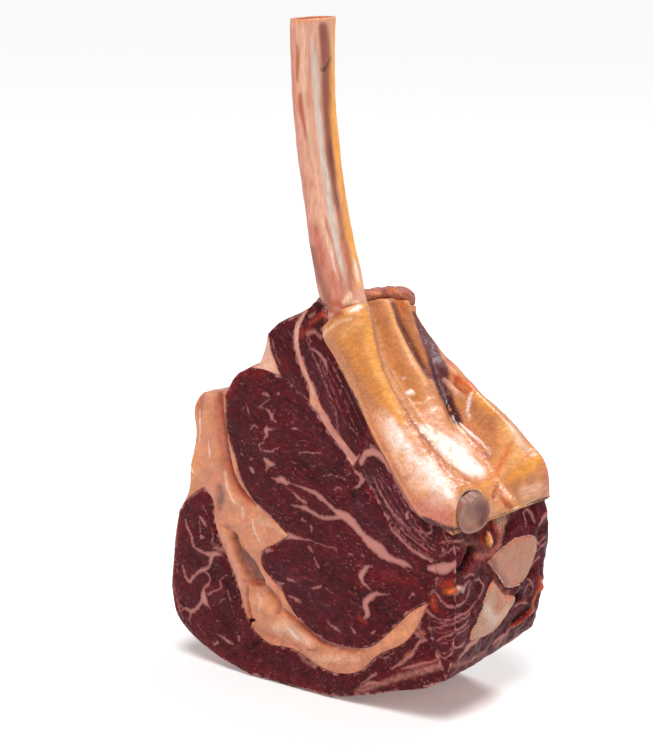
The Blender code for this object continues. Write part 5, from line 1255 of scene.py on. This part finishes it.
def swept_bone(sides, step, grow):
    """The rib bone from its sawn end down into the meat, in millimetres, grown all round."""
    path = smooth_curve(BONE_PATH, step)
    tangent = np.gradient(path, axis=0)
    tangent /= np.linalg.norm(tangent, axis=1)[:, None]
    path[0] -= tangent[0] * grow * SEAT_LONG
    bm = bmesh.new()
    bmesh.ops.create_cone(bm, cap_ends=True, segments=sides, radius1=1, radius2=1,
                          depth=len(path) - 1)
    bmesh.ops.translate(bm, verts=bm.verts[:], vec=(0, 0, (len(path) - 1) / 2))
    walls = [face for face in bm.faces if len(face.verts) == 4]
    slice_up(bm, walls, Vector((0, 0, 1)), range(1, len(path) - 1))
    for corner in bm.verts:
        row = min(max(round(corner.co.z), 0), len(path) - 1)
        (x, z), (tx, tz) = path[row], tangent[row]
        half = table(BONE_WIDTH, z) + grow
        thick = table(BONE_THICK, z) + grow
        angle = math.atan2(corner.co.x, corner.co.y)
        across, lift = bone_section(angle, half, thick, 0 if grow else BONE_GROOVE)
        corner.co = (x - tz * lift, table(BONE_MIDDLE, z) + across, z + tx * lift)
    return bm


def grid_cap(bm, face, way, across, cell):
    """Cut a flat end face into a grid and return its outline."""
    rim = np.array([corner.co for corner in face.verts])
    strips = [face]
    for axis in (way, across):
        reach = rim @ np.array(axis)
        places = np.arange(reach.min() + cell / 2, reach.max(), cell)
        strips = slice_up(bm, strips, Vector(axis), places)
    return np.vstack([rim, rim[:1]])


def bone_body():
    """The rib bone's mesh up to the chine face, and the outlines of its lower and upper end."""
    bm = swept_bone(BONE_SIDES, BONE_CELL, 0)
    everything = bm.verts[:] + bm.edges[:] + bm.faces[:]
    cut = bmesh.ops.bisect_plane(bm, geom=everything, plane_co=(BONE_END, 0, 0),
                                 plane_no=(1, 0, 0), clear_outer=True)
    rim = [part for part in cut["geom_cut"] if isinstance(part, bmesh.types.BMEdge)]
    bmesh.ops.edgenet_fill(bm, edges=rim)
    bmesh.ops.recalc_face_normals(bm, faces=bm.faces[:])
    caps = [face for face in bm.faces if len(face.verts) > 12]
    caps.sort(key=lambda face: face.calc_center_median().z)
    disc_rim = grid_cap(bm, caps[0], (0, 1, 0), (0, 0, 1), CELL)
    sawn_rim = grid_cap(bm, caps[1], (0, 1, 0), (1, 0, 0), CELL)
    bmesh.ops.remove_doubles(bm, verts=bm.verts[:], dist=0.1)
    return bm, disc_rim, sawn_rim


def rib_bone(material):
    """The scraped rib bone, with its sawn end above and its round end in the chine face."""
    bm, disc_rim, sawn_rim = bone_body()
    blank = Blank("rib_bone", bm)
    points = blank.points
    raw = points.copy()
    spine = smooth_curve(BONE_PATH, BONE_CELL)[::-1]
    from_middle = raw.copy()
    from_middle[:, 0] -= np.interp(raw[:, 2], spine[:, 1], spine[:, 0])
    from_middle[:, 1] -= table(BONE_MIDDLE, raw[:, 2])
    from_middle[:, 2] = 0
    seen = np.column_stack([from_middle[:, :2] @ SIDEWAYS, raw[:, 2]])
    seen += 0.3 * np.column_stack([ripple(raw * [1, 1, 0.3], 6, 17), ripple(raw, 9, 18)])
    blank.colour, rise = painted(seen, "bone", BONE_MARKS)
    cover(blank.colour, shade("disc"), 0.9 * smoothstep((BONE_BURIED - raw[:, 2]) / 10))
    rise += (0.3 * ripple(raw * [1, 1, 0.2], 7, 19) + 0.15 * ripple(raw * [1, 1, 0.25], 2.6, 20)
             - 0.3)
    outward = from_middle / np.maximum(np.linalg.norm(from_middle, axis=1), 1e-6)[:, None]
    points += outward * (rise * smoothstep((raw[:, 2] - BONE_BARE) / 6))[:, None]

    far, _ = nearest(raw[:, :2], sawn_rim[:, :2])
    marrow = smoothstep((far - 1) / 1.2) * (raw[:, 2] > sawn_rim[:, 2].min() - 0.05)
    cover(blank.colour, shade("bone_red"), marrow)
    points[:, 2] -= marrow * (0.5 + 0.4 * ripple(raw, 2.2, 21))

    at_end = raw[:, 0] > BONE_END - 0.05
    far, _ = nearest(raw[:, 1:], disc_rim[:, 1:])
    points[:, 0] -= at_end * (0.9 * smoothstep((far - 0.8) / 3.4) + 0.1 * ripple(raw, 2, 26))
    colour, _ = painted(raw[:, 1:], "disc", DISC_MARKS)
    cover(colour, shade("wedge"), 0.3 * (1 - smoothstep((far - 0.5) / 1.2)))
    blank.colour[at_end] = colour[at_end]
    keep_in(points)
    return blank.finish(material)


def chine_skin(y, z):
    """Where the chine face lies along x at places in it."""
    edge = seam("chine_out")[::-1]
    points = np.column_stack([np.interp(z, edge[:, 1], edge[:, 0]), y, z])
    shape_along(points)
    undulate(points)
    return points[:, 0]


def chine_slab(outline, grow, cell, rings):
    """A slab in the chine face, from its skin down into the meat, tapering."""
    loop = inset(smooth_curve(outline + outline[:1], cell)[:-1], -grow)
    bm = slab(loop, cell, [FACE * (2 * ring - 1) for ring in rings])
    middle = loop.mean(axis=0)
    outer = np.array([(corner.co.x, corner.co.z) for corner in bm.verts])
    far, _ = nearest(outer, loop)
    depth = np.array([(corner.co.y + FACE) / (2 * FACE) for corner in bm.verts])
    inner = middle + (outer - middle) * (1 - CHINE_TAPER * depth)[:, None]
    skin = chine_skin(outer[:, 0], outer[:, 1])
    rounding = (0 if grow else 1) * np.exp(-far / 1.1) * (1 - depth)
    proud = (CHINE_PROUD + SEAT_PROUD * grow) - rounding
    x = skin + proud - depth * (CHINE_DEPTH + CHINE_PROUD + grow)
    for corner, a, b, c in zip(bm.verts, x, inner[:, 0], inner[:, 1]):
        corner.co = (a, b, c)
    return bm


def chine_bone(name, outline, base, marks, material):
    """A bone that shows in the chine face."""
    blank = Blank(name, chine_slab(outline, 0, BONE_FACE_CELL, BONE_RINGS))
    points = blank.points
    flat = points[:, [1, 2]] + wobble(points, 0.4, 5, 22)
    blank.colour, rise = painted(flat, base, marks)
    far, _ = nearest(flat, smooth_curve(outline + outline[:1], FINE_STEP))
    cover(blank.colour, shade("rose"), 0.7 * np.exp(-far / 0.9))
    surface = smoothstep((points[:, 0] - chine_skin(points[:, 1], points[:, 2]) + 2) / 1.5)
    points[:, 0] += (rise + 0.3 * ripple(points, 9, 24) + 0.12 * ripple(points, 2.6, 25)) * surface
    keep_in(points)
    return blank.finish(material)


def cut_seat(piece, bm):
    """Take the shape of a bone, grown by the gap, out of a piece."""
    mesh = bpy.data.meshes.new("seat")
    bmesh.ops.translate(bm, vec=(0, 0, -REST), verts=bm.verts[:])
    bmesh.ops.scale(bm, vec=(METRES,) * 3, verts=bm.verts[:])
    bmesh.ops.recalc_face_normals(bm, faces=bm.faces[:])
    bm.to_mesh(mesh)
    bm.free()
    cutter = bpy.data.objects.new("seat", mesh)
    bpy.context.scene.collection.objects.link(cutter)
    cut = piece.modifiers.new("seat", "BOOLEAN")
    cut.operation = "DIFFERENCE"
    cut.solver = "MANIFOLD"
    cut.object = cutter
    bpy.context.view_layer.update()
    done = piece.evaluated_get(bpy.context.evaluated_depsgraph_get())
    result = bpy.data.meshes.new_from_object(done)
    piece.modifiers.clear()
    old = piece.data
    piece.data = result
    bpy.data.meshes.remove(old)
    result.name = piece.name
    bpy.data.objects.remove(cutter)


# ======================================================================================
# materials
# ======================================================================================
class Finish:
    """A material being wired up."""

    def __init__(self, name):
        self.material = bpy.data.materials.new(name)
        self.material.use_nodes = True
        self.tree = self.material.node_tree
        self.shader = self.tree.nodes["Principled BSDF"]
        self.place = self.node("TexCoord").outputs["Object"]

    def node(self, kind, inputs=(), **settings):
        """A node with its settings, and with values or wires in its inputs."""
        node = self.tree.nodes.new("ShaderNode" + kind)
        for key, value in settings.items():
            setattr(node, key, value)
        for key, value in dict(inputs).items():
            self.plug(node.inputs[key], value)
        return node

    def plug(self, socket, value):
        """A value or a wire into a socket."""
        if isinstance(value, bpy.types.NodeSocket):
            self.tree.links.new(value, socket)
        else:
            socket.default_value = value

    def field(self, name, part="Fac"):
        """A painted field of the mesh."""
        return self.node("Attribute", attribute_name=name).outputs[part]

    def maths(self, operation, a, b=0.0):
        """A calculation with two numbers."""
        return self.node("Math", {0: a, 1: b}, operation=operation).outputs[0]

    def times(self, first, *others):
        """The product of several numbers."""
        for other in others:
            first = self.maths("MULTIPLY", first, other)
        return first

    def plus(self, first, *others):
        """The sum of several numbers."""
        for other in others:
            first = self.maths("ADD", first, other)
        return first

    def ease(self, value, low, high, start=0.0, end=1.0):
        """A number eased from start to end while the value goes from low to high."""
        inputs = {"Value": value, "From Min": low, "From Max": high, "To Min": start, "To Max": end}
        return self.node("MapRange", inputs, interpolation_type="SMOOTHSTEP").outputs[0]

    def turned(self, stretch, tilt=0.0):
        """The place on the piece, turned about Y and stretched."""
        inputs = {"Vector": self.place, "Rotation": (0, tilt, 0), "Scale": stretch}
        return self.node("Mapping", inputs, vector_type="TEXTURE").outputs[0]

    def noise(self, size, detail=3.0, rough=0.55, where=None):
        """Cloudy noise whose patches are about size millimetres."""
        inputs = {"Vector": where or self.place, "Scale": 1 / (size * METRES), "Detail": detail,
                  "Roughness": rough}
        return self.node("TexNoise", inputs).outputs["Fac"]

    def cells(self, size, where=None):
        """Distance from the borders of lobes about size millimetres wide."""
        inputs = {"Vector": where or self.place, "Scale": 1 / (size * METRES)}
        return self.node("TexVoronoi", inputs, feature="DISTANCE_TO_EDGE").outputs["Distance"]

    def mix(self, share, a, b, blend="MIX"):
        """One colour over another."""
        node = self.node("Mix", data_type="RGBA", blend_type=blend)
        for number, value in ((0, share), (6, a), (7, b)):
            self.plug(node.inputs[number], value)
        return node.outputs[2]

    def toned(self, *lights):
        """The painted colour, made lighter and darker."""
        light = self.times(*lights)
        grey = self.node("CombineColor", {0: light, 1: light, 2: light}).outputs[0]
        return self.mix(1.0, self.field("tint", "Color"), grey, "MULTIPLY")

    def stain(self, share, under, name):
        """A shade over a colour."""
        return self.mix(share, under, rgba(name))

    def bump(self, height, distance, strength=1.0):
        """Fine relief of the given depth in millimetres."""
        inputs = {"Height": height, "Distance": distance * METRES, "Strength": strength}
        return self.node("Bump", inputs).outputs[0]

    def wear(self, **inputs):
        """Fill the shader's own sockets and return the material."""
        for key, value in inputs.items():
            self.plug(self.shader.inputs[key.replace("_", " ")], value)
        return self.material


def rgba(name):
    """A shade with full opacity."""
    return (*shade(name), 1)


def meat_finish(name, tilt, grain):
    """Wet raw muscle: bundles of fibre, small flecks of fat and crisp veins."""
    f = Finish(name)
    along = f.turned((grain, 1, 1), tilt)
    fibre = f.noise(1.5, 4, 0.6, along)
    fine = f.noise(0.55, 3, 0.6)
    colour = f.toned(f.ease(fibre, 0.32, 0.72, 0.62, 1.45),
                     f.ease(f.noise(9, 3, 0.5), 0.3, 0.7, 0.82, 1.2),
                     f.ease(fine, 0.3, 0.7, 0.85, 1.16))
    flecks = f.times(f.ease(f.noise(2.3, 3, 0.6, along), 0.56, 0.70),
                     f.ease(f.noise(12, 2, 0.5), 0.40, 0.62, 0.1, 0.7))
    colour = f.stain(flecks, colour, "blush_meat")
    specks = f.times(f.ease(f.noise(1.0, 2, 0.5, along), 0.60, 0.70),
                     f.ease(f.noise(7, 2, 0.5), 0.40, 0.64, 0.05, 0.6))
    colour = f.stain(specks, colour, "vein_thin")
    ragged = f.times(f.maths("SUBTRACT", f.noise(1.5, 5, 0.65), 0.5), 2.2)
    vein = f.ease(f.plus(f.field("fat"), ragged), -0.6, 0.45)
    vein_tone = f.mix(f.noise(3.5, 3, 0.6), rgba("vein"), rgba("blush"))
    vein_edge = f.mix(f.ease(f.field("fat"), 0.0, 1.4), rgba("vein_thin"), vein_tone)
    colour = f.mix(f.times(vein, 0.92), colour, vein_edge)
    skin = f.times(f.field("film"), f.ease(f.noise(16, 4, 0.6), 0.42, 0.60, 0.0, 0.72))
    film = f.mix(f.noise(5, 3, 0.6), rgba("shell"), rgba("rose"))
    colour = f.mix(skin, colour, film)
    height = f.plus(f.times(fibre, 0.5), f.times(fine, 0.5))
    rough = f.ease(f.noise(3.2, 3, 0.6), 0.35, 0.65, 0.30, 0.52)
    return f.wear(Base_Color=colour, Roughness=rough, Normal=f.bump(height, 0.42, 0.8),
                  Specular_IOR_Level=0.06, Coat_Weight=0.11, Coat_Roughness=0.08,
                  Coat_Normal=f.bump(height, 0.5, 1.0),
                  Subsurface_Weight=0.06, Subsurface_Radius=(1, 0.25, 0.15),
                  Subsurface_Scale=0.002)


def fat_finish(name, gloss):
    """Firm fat: warm, faintly lobed, with a moist sheen."""
    f = Finish(name)
    patch = f.noise(7, 3, 0.55)
    lobes = f.cells(3.2)
    fine = f.noise(0.8, 3, 0.6)
    colour = f.toned(f.ease(patch, 0.3, 0.7, 0.84, 1.14), f.ease(fine, 0.3, 0.7, 0.92, 1.07))
    colour = f.stain(f.ease(f.noise(5, 4, 0.6), 0.48, 0.70, 0.0, 0.4), colour, "rose")
    colour = f.stain(f.ease(lobes, 0.0, 0.2, 0.07, 0.0), colour, "copper")
    height = f.plus(f.times(f.ease(lobes, 0, 0.25), 0.35), f.times(patch, 0.8), f.times(fine, 0.25))
    rough = f.ease(f.noise(5, 3, 0.6), 0.35, 0.65, gloss, gloss + 0.16)
    return f.wear(Base_Color=colour, Roughness=rough, Normal=f.bump(height, 0.9, 0.9),
                  Coat_Weight=0.35, Coat_Roughness=0.14, Specular_IOR_Level=0.5,
                  Subsurface_Weight=0.18, Subsurface_Radius=(1, 0.45, 0.25),
                  Subsurface_Scale=0.003)


def skin_finish(name):
    """The skin over the rib side: wrinkled across its ridges, glassy where it is wet."""
    f = Finish(name)
    tilt = -math.pi / 4
    streak = f.noise(1.3, 4, 0.65, f.turned((1, 4, 1), tilt))
    wet = f.field("film")
    colour = f.toned(f.ease(f.noise(7, 4, 0.6), 0.3, 0.7, 0.92, 1.1),
                     f.ease(streak, 0.3, 0.7, 0.84, 1.16))
    colour = f.stain(f.ease(f.noise(4, 3, 0.6), 0.58, 0.78, 0.0, 0.16), colour, "bone_red")
    threads = f.noise(1.0, 4, 0.6, f.turned((1, 7, 1), tilt))
    colour = f.stain(f.ease(threads, 0.62, 0.72, 0, 0.5), colour, "cream")
    grain = f.times(f.ease(f.noise(4, 4, 0.6), 0.53, 0.63), f.ease(wet, 0, 1, 0.0, 0.35))
    colour = f.stain(grain, colour, "gold")
    wrinkles = f.noise(3.4, 4, 0.62, f.turned((1, 2.2, 1), tilt))
    height = f.plus(f.times(streak, 0.4), f.times(wrinkles, f.ease(wet, 0, 1, 0.7, 2.0)),
                    f.times(f.noise(0.9, 3, 0.6), 0.3))
    dry = f.ease(f.noise(4, 3, 0.6), 0.35, 0.65, 0.42, 0.62)
    rough = f.times(dry, f.ease(wet, 0, 1, 1, 0.34))
    return f.wear(Base_Color=colour, Roughness=rough, Normal=f.bump(height, 0.5, 0.8),
                  Coat_Weight=0.12, Coat_Roughness=0.12, Specular_IOR_Level=0.5,
                  Subsurface_Weight=0.15, Subsurface_Radius=(1, 0.5, 0.25),
                  Subsurface_Scale=0.003)


def bone_finish(name, stretch, pores):
    """Scraped bone: streaks along its length, stained, with a moist film."""
    f = Finish(name)
    along = f.turned((1, 1, stretch))
    streak = f.noise(1.4, 4, 0.6, along)
    colour = f.toned(f.ease(streak, 0.3, 0.7, 0.86, 1.12),
                     f.ease(f.noise(0.6, 3, 0.6), 0.3, 0.7, 0.95, 1.05))
    patch = f.noise(6, 3, 0.6, along)
    colour = f.stain(f.ease(patch, 0.52, 0.74, 0.0, 0.45), colour, "bone_red")
    holes = f.ease(f.cells(pores), 0.02, 0.12)
    height = f.plus(f.times(streak, 0.7), f.times(holes, 0.25))
    rough = f.ease(f.noise(4, 3, 0.6), 0.35, 0.65, 0.36, 0.56)
    return f.wear(Base_Color=colour, Roughness=rough, Normal=f.bump(height, 0.3, 0.7),
                  Coat_Weight=0.08, Coat_Roughness=0.25, Specular_IOR_Level=0.35,
                  Subsurface_Weight=0.12, Subsurface_Radius=(1, 0.5, 0.3),
                  Subsurface_Scale=0.002)


# ======================================================================================
# the steak
# ======================================================================================
def place_piece(name, piece):
    """A finished piece stands for the solid of its name."""
    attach(piece, "root")
    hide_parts(name)


def make_steak():
    """Every piece of the steak, with the bones' seats cut out of what holds them."""
    edge = outer_edge()
    finishes = {
        "rib_eye": meat_finish("rib_eye_meat", math.radians(8), 2.2),
        "rib_cap": meat_finish("rib_cap_meat", math.radians(-25), 1.8),
        "outer_strip": meat_finish("outer_strip_meat", math.radians(60), 3.0),
        "inner_strip": meat_finish("inner_strip_meat", math.radians(55), 2.6),
        "deep_muscle": meat_finish("deep_meat", math.radians(45), 2.4),
        "chine_meat": meat_finish("chine_meat", math.radians(-20), 2.4),
        "seam_fat": fat_finish("seam_fat", 0.34),
        "top_fat": fat_finish("top_fat", 0.40),
        "strip_fat": fat_finish("strip_fat", 0.38),
    }
    pieces = {name: slice_of_steak(name, edge, finishes[name]) for name in LOOPS}
    pieces["rib_side_fat"] = rib_side(skin_finish("rib_side_skin"))
    scraped = bone_finish("scraped_bone", 6, 2.2)
    sawn = bone_finish("sawn_bone", 1, 1.3)
    for name in ("rib_side_fat", "inner_strip", "chine_meat"):
        cut_seat(pieces[name], swept_bone(SEAT_SIDES, SEAT_STEP, GAP))
    pieces["rib_bone"] = rib_bone(scraped)
    for name, outline, base, marks in (("vertebra_bone", VERTEBRA, "plate", PLATE_MARKS),
                                       ("feather_bone", FEATHER, "wedge", WEDGE_MARKS)):
        cut_seat(pieces["chine_meat"], chine_slab(outline, GAP, SEAT_CELL, [0.5]))
        pieces[name] = chine_bone(name, outline, base, marks, sawn)
    for name, piece in pieces.items():
        place_piece(name, piece)


def make_floor():
    """A plain pale floor."""
    bm = bmesh.new()
    bmesh.ops.create_grid(bm, x_segments=1, y_segments=1, size=FLOOR_REACH)
    mesh = bpy.data.meshes.new("floor")
    bm.to_mesh(mesh)
    bm.free()
    floor = bpy.data.objects.new("floor", mesh)
    bpy.context.scene.collection.objects.link(floor)
    f = Finish("floor")
    mesh.materials.append(f.wear(Base_Color=FLOOR_COLOUR, Roughness=0.9, Specular_IOR_Level=0.2,
                                 Emission_Color=WHITE, Emission_Strength=FLOOR_GLOW))


def aim(thing, place, target):
    """Put a lamp or camera at a place and turn it to a target."""
    thing.location = place
    thing.rotation_euler = (Vector(target) - Vector(place)).to_track_quat("-Z", "Y").to_euler()
    bpy.context.scene.collection.objects.link(thing)


def make_light():
    """Soft daylight from all round, a wide sun and three large soft lamps."""
    scene = bpy.context.scene
    world = bpy.data.worlds.new("daylight")
    world.use_nodes = True
    sky = world.node_tree.nodes["Background"]
    sky.inputs["Color"].default_value = WHITE
    sky.inputs["Strength"].default_value = DAYLIGHT
    scene.world = world
    sun = bpy.data.lights.new("key", "SUN")
    sun.energy = SUN_POWER
    sun.angle = math.radians(SUN_SOFTNESS)
    key = bpy.data.objects.new("key", sun)
    key.visible_glossy = False
    aim(key, SUN_FROM, (0, 0, 0))
    for name, place, width, power in LAMPS:
        lamp = bpy.data.lights.new(name, "AREA")
        lamp.size = width
        lamp.energy = power
        aim(bpy.data.objects.new(name, lamp), place, LAMP_AIM)


def make_camera():
    """A long lens at the front right, a little above the bone's end."""
    lens = bpy.data.cameras.new("camera")
    lens.sensor_fit = "VERTICAL"
    lens.sensor_height = 36
    lens.lens = CAMERA_LENS
    camera = bpy.data.objects.new("camera", lens)
    aim(camera, CAMERA_PLACE, CAMERA_AIM)
    bpy.context.scene.camera = camera


bpy.context.scene.view_settings.view_transform = "Standard"
make_camera()
make_light()
make_floor()
make_steak()
